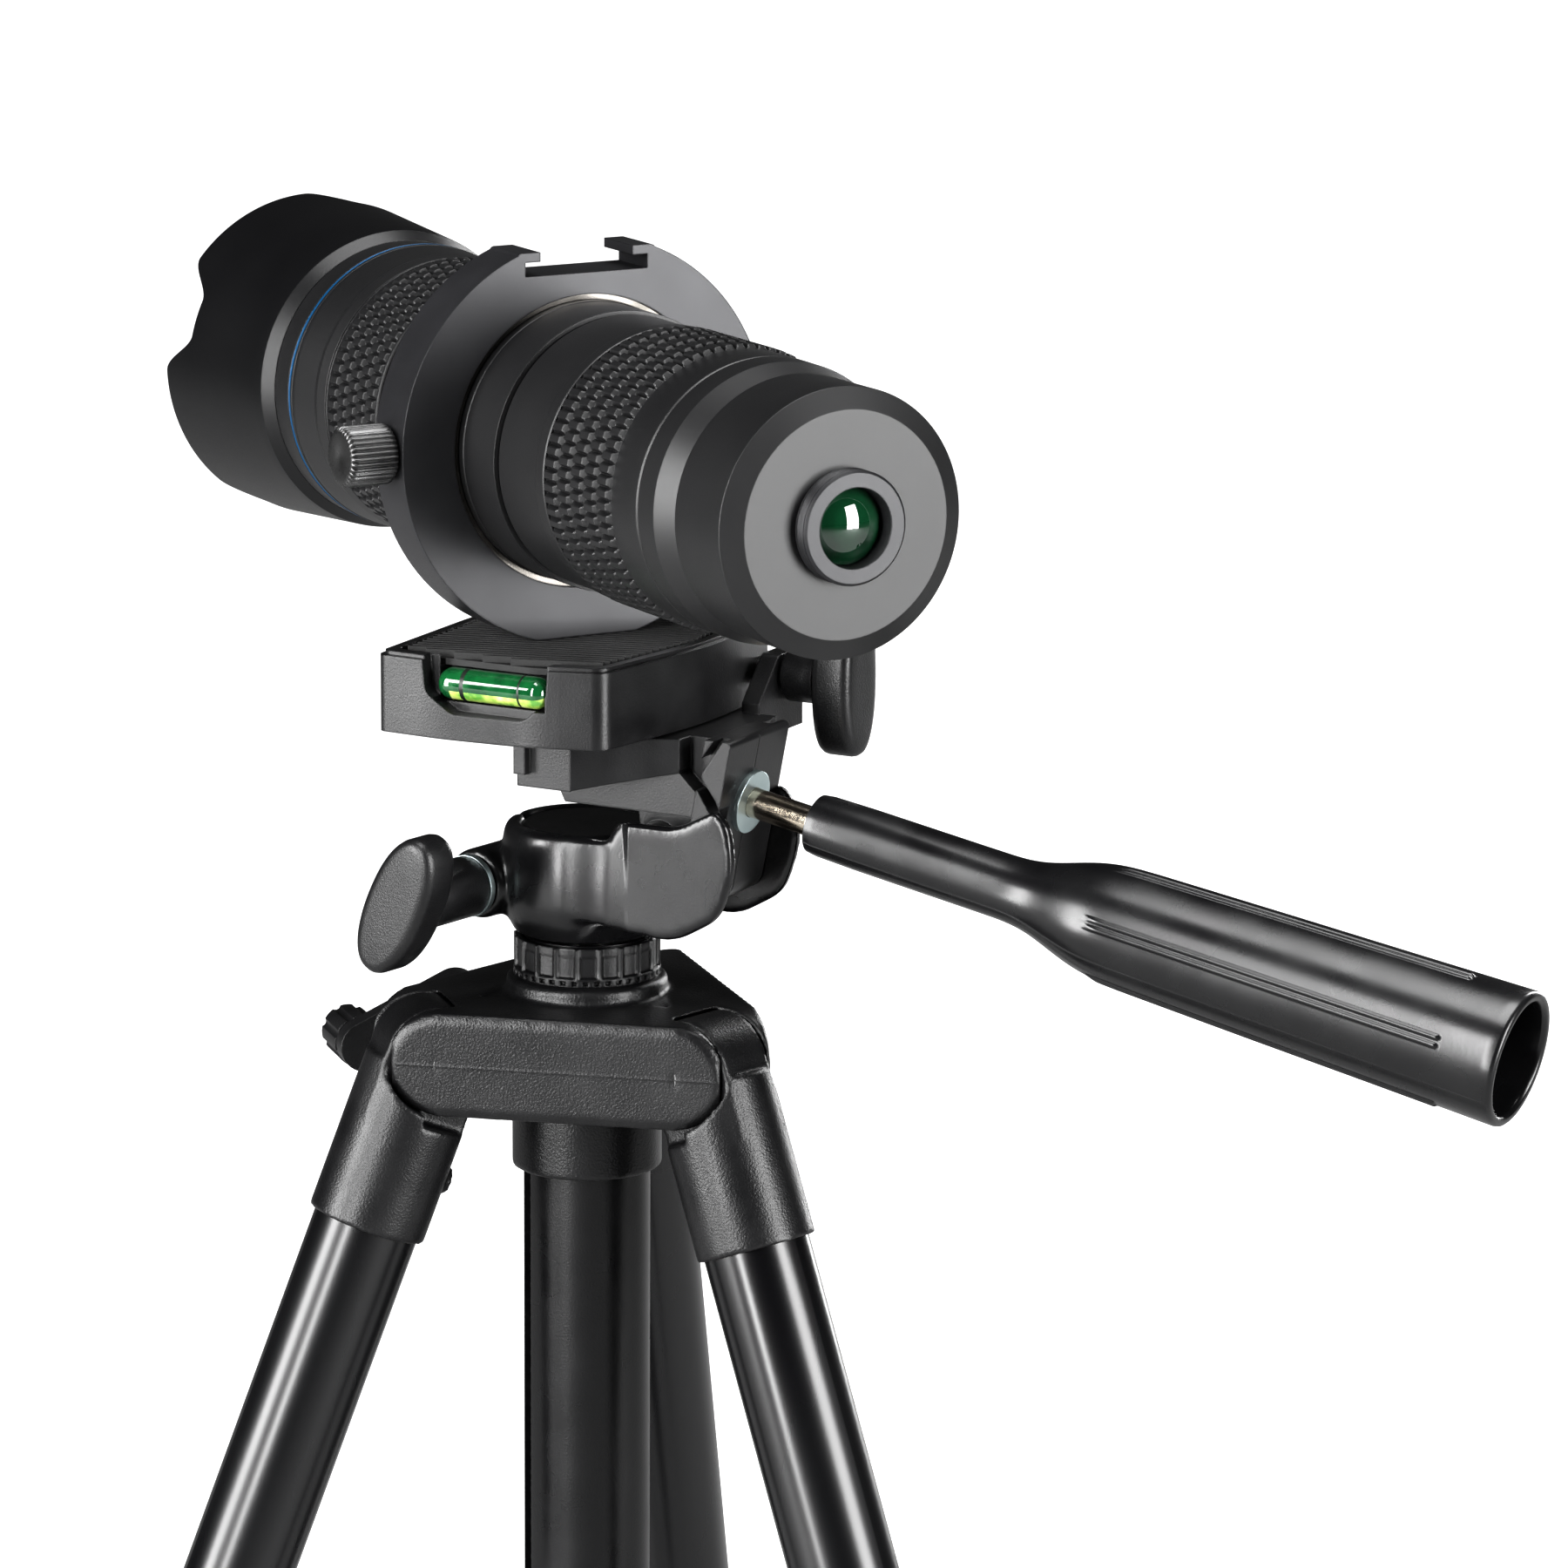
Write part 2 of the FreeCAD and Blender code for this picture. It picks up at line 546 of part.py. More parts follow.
def platform():
    body = prism(PLATFORM_PLAN, PLATFORM_BOTTOM, PLATFORM_TOP)
    body = fused([body, prism(shrunk(PLATFORM_PLAN, 0.975), PLATFORM_TOP - 0.2, PLATFORM_TOP + 0.6)])
    body = body.cut(prism(shrunk(PLATFORM_PLAN, 0.90), PAD_BOTTOM, 70.0))
    pocket = [(-8.4, 66.0), (-8.0, 60.0, 3.0), (-4.6, 56.6, 2.6), (7.6, 56.6, 2.6), (12.2, 59.6, 3.0),
              (12.8, 66.0)]
    body = body.cut(prism(pocket, -40.0, -25.9, across="x"))
    body = body.cut(box(-28.2, -22.7, -7.9, 11.0, 58.1, PLATFORM_TOP + 1.0))
    body = body.cut(rod(2.0 + RUN_GAP, vec(FLIP_X, -30.0, FLIP_H), vec(FLIP_X, 30.0, FLIP_H)))
    x, y = CAMERA_SCREW_AT
    body = body.cut(disc(8.9, PLATFORM_BOTTOM - 1.0, PLATFORM_BOTTOM + 5.0, x, y))
    return body.cut(disc(3.4, PLATFORM_BOTTOM, 70.0, x, y))


def platform_pad():
    x, y = CAMERA_SCREW_AT
    pad = prism(shrunk(PLATFORM_PLAN, 0.89), PAD_BOTTOM, PAD_TOP)
    keep = box(-24.6, 40.0, -40.0, 40.0, 0.0, 90.0)
    return pad.common(keep).cut(disc(3.6, 60.0, 70.0, x, y))


def level_vial():
    return rod(2.55, vec(-25.3, -7.9, 60.8), vec(-25.3, 11.0, 60.8))


def head_point(x, y):
    """Row-direction offset from the column axis, seen in the head's frame."""
    turn = math.radians(-PAN_REST)
    return (x * math.cos(turn) - y * math.sin(turn), x * math.sin(turn) + y * math.cos(turn))


RING_MIDDLE = (RING_Y0 + RING_Y1) / 2.0
CAMERA_SCREW_AT = head_point(OPTIC_X, RING_MIDDLE)


def camera_screw():
    x, y = CAMERA_SCREW_AT
    head = disc(8.4, PLATFORM_BOTTOM + 1.4, PLATFORM_BOTTOM + 4.7, x, y)
    slot = box(x - 10.0, x + 10.0, y - 0.8, y + 0.8, PLATFORM_BOTTOM, PLATFORM_BOTTOM + 2.4)
    return fused([head, disc(3.05, PLATFORM_BOTTOM + 4.0, 71.0, x, y)]).cut(slot)


def flip_frame(shape):
    """From a screw frame along +X to the flip hinge, knob towards -Y."""
    return moved(spun(shape, -90), vec(FLIP_X, 0, FLIP_H))


def flip_knob():
    """Paddle moulded round the bolt that is the platform's hinge pin."""
    blade = paddle(30.2, 6.8)
    neck = rod(4.4, vec(24.3, 0, 0), vec(31.0, 0, 0))
    bolt = rod(2.0, vec(-26.4, 0, 0), vec(31.0, 0, 0))
    return flip_frame(fused([blade, neck, bolt]))


# ---------------------------------------------------------------- mount ring
def ring_frame(shape):
    """From the ring's frame (centre of the bore at the origin, X and Z as in the row)."""
    return on_column(moved(shape, vec(OPTIC_X, 0, OPTIC_H)))


def mount_ring():
    body = rod(RING_R, vec(0, RING_Y0, 0), vec(0, RING_Y1, 0))
    block = prism([(-12.4, 20.0), (12.4, 20.0), (12.4, 28.6, 0.8), (11.6, 29.8, 0.8), (-11.6, 29.8, 0.8),
                   (-12.4, 28.6, 0.8)], RING_Y0, RING_Y1, across="y")
    body = fused([body, block])
    body = body.cut(box(-40, 40, -10, 10, 29.8, 40)).cut(box(-40, 40, -10, 10, -40, -30.5))
    body = body.cut(rod(RING_BORE, vec(0, -10, 0), vec(0, 10, 0)))
    body = body.cut(box(-10.57, 10.57, -10, 10, 26.15, 28.35)).cut(box(-8.0, 8.0, -10, 10, 28.0, 40))
    body = body.cut(disc(3.15, -31.0, -24.4, 0.0, RING_MIDDLE))
    return body.cut(rod(2.0 + RUN_GAP, vec(-40, RING_MIDDLE, 0), vec(-20, RING_MIDDLE, 0)))


def ring_liner():
    outer = rod(RING_BORE, vec(0, RING_Y0 + 0.6, 0), vec(0, RING_Y1 - 0.6, 0))
    inner = rod(SEAT_R + RUN_GAP, vec(0, -10, 0), vec(0, 10, 0))
    return outer.cut(inner).cut(rod(2.2, vec(-30, RING_MIDDLE, 0), vec(-10, RING_MIDDLE, 0)))


def ring_thumbscrew():
    head = rod(5.0, vec(-40.0, RING_MIDDLE, 0), vec(-32.0, RING_MIDDLE, 0))
    head = head.cut(rod(3.2, vec(-41.0, RING_MIDDLE, 0), vec(-39.4, RING_MIDDLE, 0)))
    return fused([head, rod(2.0, vec(-33.0, RING_MIDDLE, 0), vec(-22.3, RING_MIDDLE, 0))])


# ---------------------------------------------------------------- optic
def main_barrel():
    return turned([(16.5, -66.0), (18.5, -66.0), (18.5, -14.5), (21.75, -14.5), (21.75, -4.6), (SEAT_R, -4.4),
                   (SEAT_R, 6.4), (21.75, 6.6), (21.75, 23.7), (20.0, 23.7), (20.0, 46.2), (18.0, 46.2),
                   (18.0, 18.0), (16.5, 17.0)])


def front_barrel():
    return turned([(20.0, 42.3), (22.3, 42.3), (22.6, 44.7), (22.3, 46.0), (22.9, 52.0), (22.9, 52.9),
                   (22.2, 52.9), (22.2, 54.3), (23.0, 54.3), (22.8, 59.3), (21.0, 59.3), (21.0, 66.0),
                   (18.6, 66.0), (18.6, 58.0), (17.0, 57.0), (17.0, 46.4), (20.0, 46.4)])


def accent_ring():
    return turned([(22.2, 52.9), (23.0, 52.9), (23.1, 53.6), (23.0, 54.3), (22.2, 54.3)])


def lens_hood():
    """Flared hood with four broad petals."""
    hood = turned([(21.0, 59.5), (22.8, 59.5), (24.25, 61.6), (26.4, 92.6), (26.0, 93.0), (24.8, 93.0),
                   (22.9, 66.4), (21.0, 66.0)])
    half_width = 9.6
    floor = 85.5
    points = []
    for i in range(17):
        t = -1.0 + i / 8.0
        rise = 0.5 - 0.5 * math.cos(math.pi * min(1.0, max(0.0, (abs(t) - 0.42) / 0.58)))
        points.append(vec(half_width * t, 0, floor + 8.2 * rise))
    curve = Part.BSplineCurve()
    curve.interpolate(points)
    closing = [points[-1], vec(half_width, 0, 96.0), vec(-half_width, 0, 96.0), points[0]]
    wire = Part.Wire([curve.toShape(), Part.makePolygon(closing)])
    valley = Part.Face(wire).extrude(vec(0, 40.0, 0))
    for i in range(4):
        hood = hood.cut(spun(valley, -161.0 - 90.0 + i * 90.0))
    return hood


def objective_lens():
    rim = turned([(0, 60.6), (18.6, 60.6), (18.6, 63.4), (0, 63.4)])
    dome = Part.makeSphere(60.0, vec(0, 0, 66.4 - 60.0)).common(disc(18.6, 60.0, 70.0))
    return fused([rim, dome.common(disc(18.6, 63.0, 70.0))])


def eyepiece_housing():
    return turned([(18.5, -58.9), (21.15, -58.9), (21.1, -63.5), (19.6, -67.7), (20.0, -68.0), (20.1, -81.2),
                   (16.9, -83.0), (7.0, -83.0), (7.0, -79.5), (12.0, -78.0), (12.0, -66.2), (18.5, -66.2)])


def eyepiece_thread_ring():
    return turned([(5.8, -85.8), (8.1, -85.8), (8.5, -85.4), (8.5, -83.0), (7.0, -83.0), (7.0, -79.8),
                   (5.8, -79.8)])


def eye_lens():
    dome = Part.makeSphere(9.0, vec(0, 0, -85.3 + 9.0)).common(disc(5.8, -86.0, -80.6))
    return dome


def roof_prism():
    return box(-11.5, 11.5, -11.5, 11.5, -8.0, 14.0)


def focus_ring():
    return turned([(20.0 + 0.1, 24.0), (22.3, 24.0), (22.6, 24.6), (22.6, 41.4), (22.3, 42.0), (20.1, 42.0)])


def focus_carrier():
    return turned([(15.0, 26.0), (17.92, 26.0), (17.92, 36.0), (15.0, 36.0)])


def focus_lens():
    return turned([(0, 28.6), (15.0, 29.6), (15.0, 32.4), (0, 33.4)])


def zoom_ring():
    return turned([(18.6, -58.6), (21.15, -58.6), (21.15, -50.5), (21.7, -50.2), (21.7, -30.3), (21.5, -30.0),
                   (21.5, -27.5), (21.2, -27.3), (21.2, -14.8), (18.6, -14.8)])


def zoom_carrier():
    return turned([(13.5, -47.0), (16.42, -47.0), (16.42, -35.0), (13.5, -35.0)])


def zoom_lens():
    return turned([(0, -43.6), (13.5, -42.4), (13.5, -39.6), (0, -38.4)])


# ---------------------------------------------------------------- assembly
def build():
    add("shoulder_casting", on_column(shoulder_casting()))
    pins = [on_column(leg_pivot_pin(azimuth)) for azimuth in LEG_AZIMUTHS.values()]
    for name, pin in zip(LEG_AZIMUTHS, pins):
        add("leg_pin_" + name, pin)
    add("column_lock_ring", on_column(column_lock_ring()))
    for name, azimuth in LEG_AZIMUTHS.items():
        add("leg_casting_" + name, on_leg(leg_casting(), azimuth))
        add("upper_tube_" + name, on_leg(upper_tube(), azimuth))
        add("twist_collar_" + name, on_leg(twist_collar(), azimuth))
        add("lower_tube_" + name, on_leg(lower_tube(), azimuth))
        add("foot_" + name, on_leg(foot(), azimuth))
    for make in (center_column, column_rack, crank_shaft, crank_arm, crank_knob, pan_spindle, column_end_cap,
                 weight_hook):
        add(make.__name__, on_column(make()))
    for make in (pan_housing, pan_cap, tilt_axle, pan_knob, pan_knob_screw, tilt_bracket, handle_washer,
                 handle_rod, handle_grip, platform, platform_pad, level_vial, camera_screw, flip_knob):
        add(make.__name__, on_head(make()))
    for make in (mount_ring, ring_liner, ring_thumbscrew):
        add(make.__name__, ring_frame(make()))
    for make in (main_barrel, front_barrel, accent_ring, lens_hood, objective_lens, eyepiece_housing,
                 eyepiece_thread_ring, eye_lens, roof_prism, focus_ring, focus_carrier, focus_lens, zoom_ring,
                 zoom_carrier, zoom_lens):
        add(make.__name__, on_optic(make()))


build()
os.makedirs("parts", exist_ok=True)
for name, shape in NODES.items():
    shape.exportStep("parts/" + name + ".step")
overall = FreeCAD.BoundBox()
for shape in NODES.values():
    overall.add(shape.BoundBox)
print("nodes", len(NODES))
print("x", round(overall.XMin, 2), round(overall.XMax, 2))
print("y", round(overall.YMin, 2), round(overall.YMax, 2))
print("z", round(overall.ZMin, 2), round(overall.ZMax, 2))
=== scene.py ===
import math

import bmesh
import bpy
from mathutils import Matrix, Vector


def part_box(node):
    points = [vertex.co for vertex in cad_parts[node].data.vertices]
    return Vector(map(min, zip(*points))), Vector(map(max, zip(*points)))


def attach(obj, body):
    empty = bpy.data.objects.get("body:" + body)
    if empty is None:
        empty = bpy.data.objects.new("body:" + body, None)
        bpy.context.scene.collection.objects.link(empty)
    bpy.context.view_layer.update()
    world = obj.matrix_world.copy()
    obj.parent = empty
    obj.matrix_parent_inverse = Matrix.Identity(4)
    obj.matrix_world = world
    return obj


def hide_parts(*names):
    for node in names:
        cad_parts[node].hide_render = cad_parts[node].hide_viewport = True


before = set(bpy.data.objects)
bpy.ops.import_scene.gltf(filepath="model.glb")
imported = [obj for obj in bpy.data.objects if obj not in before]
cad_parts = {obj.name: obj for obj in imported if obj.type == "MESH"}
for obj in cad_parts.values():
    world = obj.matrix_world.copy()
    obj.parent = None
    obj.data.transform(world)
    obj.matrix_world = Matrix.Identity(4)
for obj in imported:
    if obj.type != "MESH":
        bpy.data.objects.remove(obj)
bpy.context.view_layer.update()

# ---------------------------------------------------------------- places, from the CAD boxes
MM = 0.001


def corners(node):
    low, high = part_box(node)
    return Vector(low), Vector(high)


# Measures shared with the CAD: millimetres and degrees in the frame that each one belongs to.
BARREL_REAR_TO_RING = 66.0
PIVOT_TO_OPTIC = 96.03
PAN_REST = 32.0
TILT_Y, TILT_H = -16.5, 35.0
HANDLE_Y, HANDLE_H, HANDLE_DROOP = -29.57, 41.44, 10.7
PAN_SCREW_REACH, PAN_SCREW_AZIMUTH, PAN_SCREW_H = 12.0, 171.0, 25.6
FLIP_X, FLIP_H = 22.0, 57.3
THUMBSCREW_AHEAD = 1.02

low, high = corners("center_column")
COLUMN = Vector(((low.x + high.x) / 2, (low.y + high.y) / 2, 0.0))
low, high = corners("main_barrel")
OPTIC = Vector(((low.x + high.x) / 2, low.y + BARREL_REAR_TO_RING * MM, (low.z + high.z) / 2))
PIVOT = Vector((COLUMN.x, COLUMN.y, OPTIC.z - PIVOT_TO_OPTIC * MM))
UP = Vector((0, 0, 1))


def axes(origin, x, y, z):
    """Frame in millimetres placed in the row frame in metres."""
    m = Matrix((x, y, z)).transposed().to_4x4()
    return Matrix.Translation(origin) @ m @ Matrix.Scale(MM, 4)


def turn_about(axis, degrees):
    return Matrix.Rotation(math.radians(degrees), 4, axis)


SCREW_TURN = math.radians(PAN_SCREW_AZIMUTH - 90.0)
SCREW_START = (PAN_SCREW_REACH * math.cos(SCREW_TURN), PAN_SCREW_REACH * math.sin(SCREW_TURN), PAN_SCREW_H)

ON_OPTIC = axes(OPTIC, Vector((1, 0, 0)), Vector((0, 0, -1)), Vector((0, 1, 0)))
ON_COLUMN = Matrix.Translation(PIVOT) @ Matrix.Scale(MM, 4)
ON_HEAD = Matrix.Translation(PIVOT) @ turn_about("Z", PAN_REST) @ Matrix.Scale(MM, 4)
ON_HANDLE = (ON_HEAD @ Matrix.Translation((0, HANDLE_Y, HANDLE_H)) @ turn_about("X", HANDLE_DROOP)
             @ turn_about("X", 90.0))
PAN_SCREW = ON_HEAD @ Matrix.Translation(SCREW_START) @ turn_about("Z", PAN_SCREW_AZIMUTH)
FLIP_SCREW = ON_HEAD @ Matrix.Translation((FLIP_X, 0, FLIP_H)) @ turn_about("Z", -90.0)
THUMB = axes(OPTIC + Vector((0, THUMBSCREW_AHEAD * MM, 0)),
             Vector((0, 0, 1)), Vector((0, -1, 0)), Vector((1, 0, 0)))


# ---------------------------------------------------------------- node materials
class Shade:
    """A Principled material built from small node steps."""

    def __init__(self, name, rough=0.5, metallic=0.0, ior=1.5, coat=0.0, coat_rough=0.1):
        self.mat = bpy.data.materials.new(name)
        self.mat.use_nodes = True
        self.nodes = self.mat.node_tree.nodes
        self.links = self.mat.node_tree.links
        self.bsdf = self.nodes["Principled BSDF"]
        self.bsdf.inputs["Metallic"].default_value = metallic
        self.bsdf.inputs["Roughness"].default_value = rough
        self.bsdf.inputs["IOR"].default_value = ior
        self.bsdf.inputs["Coat Weight"].default_value = coat
        self.bsdf.inputs["Coat Roughness"].default_value = coat_rough
        coords = self.nodes.new("ShaderNodeTexCoord")
        self.place = coords.outputs["Object"]

    def noise(self, scale, detail=2.0, stretch=None):
        node = self.nodes.new("ShaderNodeTexNoise")
        node.inputs["Scale"].default_value = scale
        node.inputs["Detail"].default_value = detail
        source = self.place
        if stretch:
            mapping = self.nodes.new("ShaderNodeMapping")
            mapping.inputs["Scale"].default_value = stretch
            self.links.new(source, mapping.inputs["Vector"])
            source = mapping.outputs["Vector"]
        self.links.new(source, node.inputs["Vector"])
        return node.outputs["Fac"]

    def ramp(self, fac, stops):
        node = self.nodes.new("ShaderNodeValToRGB")
        ramp = node.color_ramp
        while len(ramp.elements) < len(stops):
            ramp.elements.new(0.5)
        for element, (place, colour) in zip(ramp.elements, stops):
            element.position = place
            element.color = (*colour, 1.0)
        self.links.new(fac, node.inputs["Fac"])
        return node.outputs["Color"]

    def spread(self, fac, low, high):
        node = self.nodes.new("ShaderNodeMapRange")
        node.inputs["From Min"].default_value = 0.3
        node.inputs["From Max"].default_value = 0.7
        node.inputs["To Min"].default_value = low
        node.inputs["To Max"].default_value = high
        self.links.new(fac, node.inputs["Value"])
        return node.outputs["Result"]

    def colour(self, source):
        self.links.new(source, self.bsdf.inputs["Base Color"])

    def roughness(self, source):
        self.links.new(source, self.bsdf.inputs["Roughness"])

    def bumps(self, layers, edge=0.0):
        """Bump layers as (height, distance in mm, strength), over softly rounded edges."""
        normal = None
        if edge:
            bevel = self.nodes.new("ShaderNodeBevel")
            bevel.samples = 4
            bevel.inputs["Radius"].default_value = edge * MM
            normal = bevel.outputs["Normal"]
        for height, distance, strength in layers:
            bump = self.nodes.new("ShaderNodeBump")
            bump.inputs["Distance"].default_value = distance * MM
            bump.inputs["Strength"].default_value = strength
            self.links.new(height, bump.inputs["Height"])
            if normal:
                self.links.new(normal, bump.inputs["Normal"])
            normal = bump.outputs["Normal"]
        if normal:
            self.links.new(normal, self.bsdf.inputs["Normal"])


def moulded(name, dark, light, rough, grain_mm=0.35, depth=0.05, edge=0.4, coat=0.0):
    """Injection-moulded plastic with a spark-eroded grain."""
    shade = Shade(name, coat=coat, coat_rough=0.25)
    patch = shade.noise(90.0, 4.0)
    grain = shade.noise(1.0 / (grain_mm * MM), 1.0)
    shade.colour(shade.ramp(patch, [(0.3, dark), (0.75, light)]))
    shade.roughness(shade.spread(patch, rough - 0.05, rough + 0.07))
    shade.bumps([(grain, depth, 0.55)], edge)
    return shade.mat


def anodised(name, dark, light, rough, edge=0.25, metallic=0.0, ior=1.6):
    """Fine-blasted, anodised aluminium."""
    shade = Shade(name, metallic=metallic, ior=ior)
    patch = shade.noise(60.0, 3.0)
    grain = shade.noise(9000.0, 2.0)
    shade.colour(shade.ramp(patch, [(0.3, dark), (0.8, light)]))
    shade.roughness(shade.spread(grain, rough - 0.04, rough + 0.06))
    shade.bumps([(grain, 0.012, 0.35)], edge)
    return shade.mat


def lacquered(name, dark, light, rough):
    """Glossy drawn tube with faint waves along it."""
    shade = Shade(name, coat=0.25, coat_rough=0.2)
    patch = shade.noise(40.0, 3.0, (1.0, 1.0, 0.15))
    waves = shade.noise(700.0, 2.0, (1.0, 1.0, 0.05))
    shade.colour(shade.ramp(patch, [(0.3, dark), (0.8, light)]))
    shade.roughness(shade.spread(patch, rough - 0.04, rough + 0.05))
    shade.bumps([(waves, 0.02, 0.25)])
    return shade.mat


def metal(name, dark, light, rough, stretch=None):
    """Bare or plated metal with fine machining lines."""
    shade = Shade(name, metallic=1.0)
    patch = shade.noise(150.0, 4.0)
    lines = shade.noise(5000.0, 2.0, stretch)
    shade.colour(shade.ramp(patch, [(0.25, dark), (0.8, light)]))
    shade.roughness(shade.spread(lines, max(0.02, rough - 0.05), rough + 0.08))
    shade.bumps([(lines, 0.01, 0.3)], edge=0.2)
    return shade.mat


def coated_glass(name, deep, sheen):
    """Lens with a green multi-layer coating over a dark inside."""
    shade = Shade(name, rough=0.03, ior=1.8, coat=1.0, coat_rough=0.02)
    shade.colour(shade.ramp(shade.noise(130.0, 1.0), [(0.35, deep), (0.65, sheen)]))
    haze = shade.noise(200.0, 2.0)
    shade.roughness(shade.spread(haze, 0.015, 0.05))
    return shade.mat


def clear_glass(name):
    """Uncoated lens or prism."""
    shade = Shade(name, rough=0.02, ior=1.5)
    shade.bsdf.inputs["Transmission Weight"].default_value = 1.0
    tint = shade.noise(80.0, 1.0)
    shade.colour(shade.ramp(tint, [(0.3, (0.88, 0.95, 0.93)), (0.7, (0.95, 0.98, 0.97))]))
    shade.roughness(shade.spread(tint, 0.01, 0.04))
    return shade.mat


def greys(low, high, cool=0.0005):
    """Darkest and lightest near-neutral colour of a finish."""
    return (low, low, low + cool), (high, high, high + cool)


MATS = {
    "head": moulded("head_black", *greys(0.0045, 0.009), 0.31, 0.30, 0.045, 0.5),
    "gloss": moulded("housing_gloss", *greys(0.004, 0.007), 0.27, 0.35, 0.02, 0.0, 0.1),
    "casting": moulded("casting_black", *greys(0.0045, 0.009), 0.34, 0.34, 0.10, 0.5),
    "knob": moulded("knob_black", *greys(0.005, 0.010), 0.36, 0.28, 0.06, 0.3),
    "platform": moulded("platform_black", *greys(0.006, 0.013), 0.33, 0.32, 0.035, 0.4),
    "grip": moulded("grip_black", *greys(0.004, 0.007), 0.26, 0.5, 0.010, 0.0, 0.15),
    "nylon": moulded("nylon_black", *greys(0.005, 0.010, 0.0), 0.42, 0.35, 0.04, 0.3),
    "pad": moulded("pad_rubber", *greys(0.003, 0.007, 0.0), 0.60, 0.25, 0.05, 0.1),
    "rubber": moulded("foot_rubber", *greys(0.005, 0.012, 0.0), 0.62, 0.30, 0.06, 0.5),
    "optic": anodised("optic_black", *greys(0.004, 0.008), 0.42),
    "hood": anodised("hood_black", *greys(0.003, 0.005), 0.34, 0.3, ior=1.42),
    "turned": anodised("turned_grey", *greys(0.020, 0.034, 0.002), 0.36, 0.2, 0.4),
    "ring": anodised("ring_grey", (0.020, 0.020, 0.022), (0.036, 0.036, 0.039), 0.36, 0.3, 0.45),
    "blue": anodised("accent_blue", (0.001, 0.055, 0.14), (0.002, 0.09, 0.22), 0.34, 0.1, 0.3),
    "leg": lacquered("leg_lacquer", *greys(0.002, 0.004), 0.27),
    "column": moulded("column_black", *greys(0.002, 0.004), 0.30, 0.35, 0.035, 0.2),
    "chrome": metal("rod_nickel", (0.42, 0.36, 0.28), (0.62, 0.56, 0.47), 0.14, (1, 1, 0.2)),
    "zinc": metal("zinc_plate", (0.50, 0.62, 0.63), (0.70, 0.80, 0.80), 0.34),
    "steel": metal("dark_steel", *greys(0.10, 0.22, 0.0), 0.32),
    "liner": metal("liner_bright", (0.04, 0.038, 0.034), (0.16, 0.15, 0.14), 0.16, (1, 40, 1)),
    "eye": coated_glass("eye_coating", (0.0, 0.008, 0.003), (0.004, 0.045, 0.017)),
    "glass": coated_glass("front_coating", (0.0, 0.010, 0.006), (0.008, 0.06, 0.045)),
    "inner_glass": clear_glass("inner_glass"),
}

NODE_MATS = {
    "shoulder_casting": "casting", "column_lock_ring": "head", "crank_shaft": "steel", "crank_arm": "knob",
    "crank_knob": "knob", "center_column": "column", "column_rack": "nylon", "pan_spindle": "steel",
    "column_end_cap": "nylon", "weight_hook": "steel", "pan_housing": "head", "pan_cap": "head",
    "tilt_axle": "steel", "pan_knob": "knob", "pan_knob_screw": "zinc", "tilt_bracket": "platform",
    "handle_washer": "zinc", "handle_rod": "chrome", "handle_grip": "grip", "platform": "platform",
    "platform_pad": "pad", "level_vial": "glass", "camera_screw": "steel", "flip_knob": "knob",
    "mount_ring": "ring", "ring_liner": "liner", "ring_thumbscrew": "steel", "main_barrel": "optic",
    "front_barrel": "optic", "accent_ring": "blue", "lens_hood": "hood", "objective_lens": "glass",
    "eyepiece_housing": "optic", "eyepiece_thread_ring": "optic", "eye_lens": "eye",
    "roof_prism": "inner_glass", "focus_ring": "optic", "focus_carrier": "optic",
    "focus_lens": "inner_glass", "zoom_ring": "optic", "zoom_carrier": "optic",
    "zoom_lens": "inner_glass",
}
for side in ("right", "back", "left"):
    NODE_MATS["leg_pin_" + side] = "steel"
    NODE_MATS["leg_casting_" + side] = "casting"
    NODE_MATS["upper_tube_" + side] = "leg"
    NODE_MATS["twist_collar_" + side] = "nylon"
    NODE_MATS["lower_tube_" + side] = "leg"
    NODE_MATS["foot_" + side] = "rubber"
for node, key in NODE_MATS.items():
    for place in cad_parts[node].material_slots:
        place.material = MATS[key]


# ---------------------------------------------------------------- mesh helpers
def piece(name, verts, faces, place, mats, face_mats=None, sharp_deg=35.0):
    """New object from millimetre vertices in a local frame; its vertices end up in the row frame."""
    mesh = bpy.data.meshes.new(name)
    mesh.from_pydata([place @ Vector(v) for v in verts], [], faces)
    for mat in mats:
        mesh.materials.append(mat)
    if face_mats:
        for polygon, index in zip(mesh.polygons, face_mats):
            polygon.material_index = index
    mesh.validate()
    bm = bmesh.new()
    bm.from_mesh(mesh)
    bmesh.ops.remove_doubles(bm, verts=bm.verts, dist=1e-7)
    bmesh.ops.recalc_face_normals(bm, faces=bm.faces)
    for edge in bm.edges:
        if len(edge.link_faces) == 2:
            edge.smooth = edge.calc_face_angle(0.0) < math.radians(sharp_deg)
    for face in bm.faces:
        face.smooth = True
    bm.to_mesh(mesh)
    bm.free()
    obj = bpy.data.objects.new(name, mesh)
    bpy.context.scene.collection.objects.link(obj)
    return obj


def grid_faces(rows, columns, loop_rows=False):
    """Quads of a grid whose columns close into a ring; its rows may close as well."""
    faces = []
    last = rows if loop_rows else rows - 1
    for i in range(last):
        below = i * columns
        above = ((i + 1) % rows) * columns
        for j in range(columns):
            k = (j + 1) % columns
            faces.append((below + j, below + k, above + k, above + j))
    return faces


def turned(profile, count):
    """Closed (radius, height) profile turned about local Z. Points near the axis make caps."""
    verts = []
    for radius, z in profile:
        for j in range(count):
            angle = 2 * math.pi * j / count
            verts.append((radius * math.cos(angle), radius * math.sin(angle), z))
    return verts, grid_faces(len(profile), count, True)


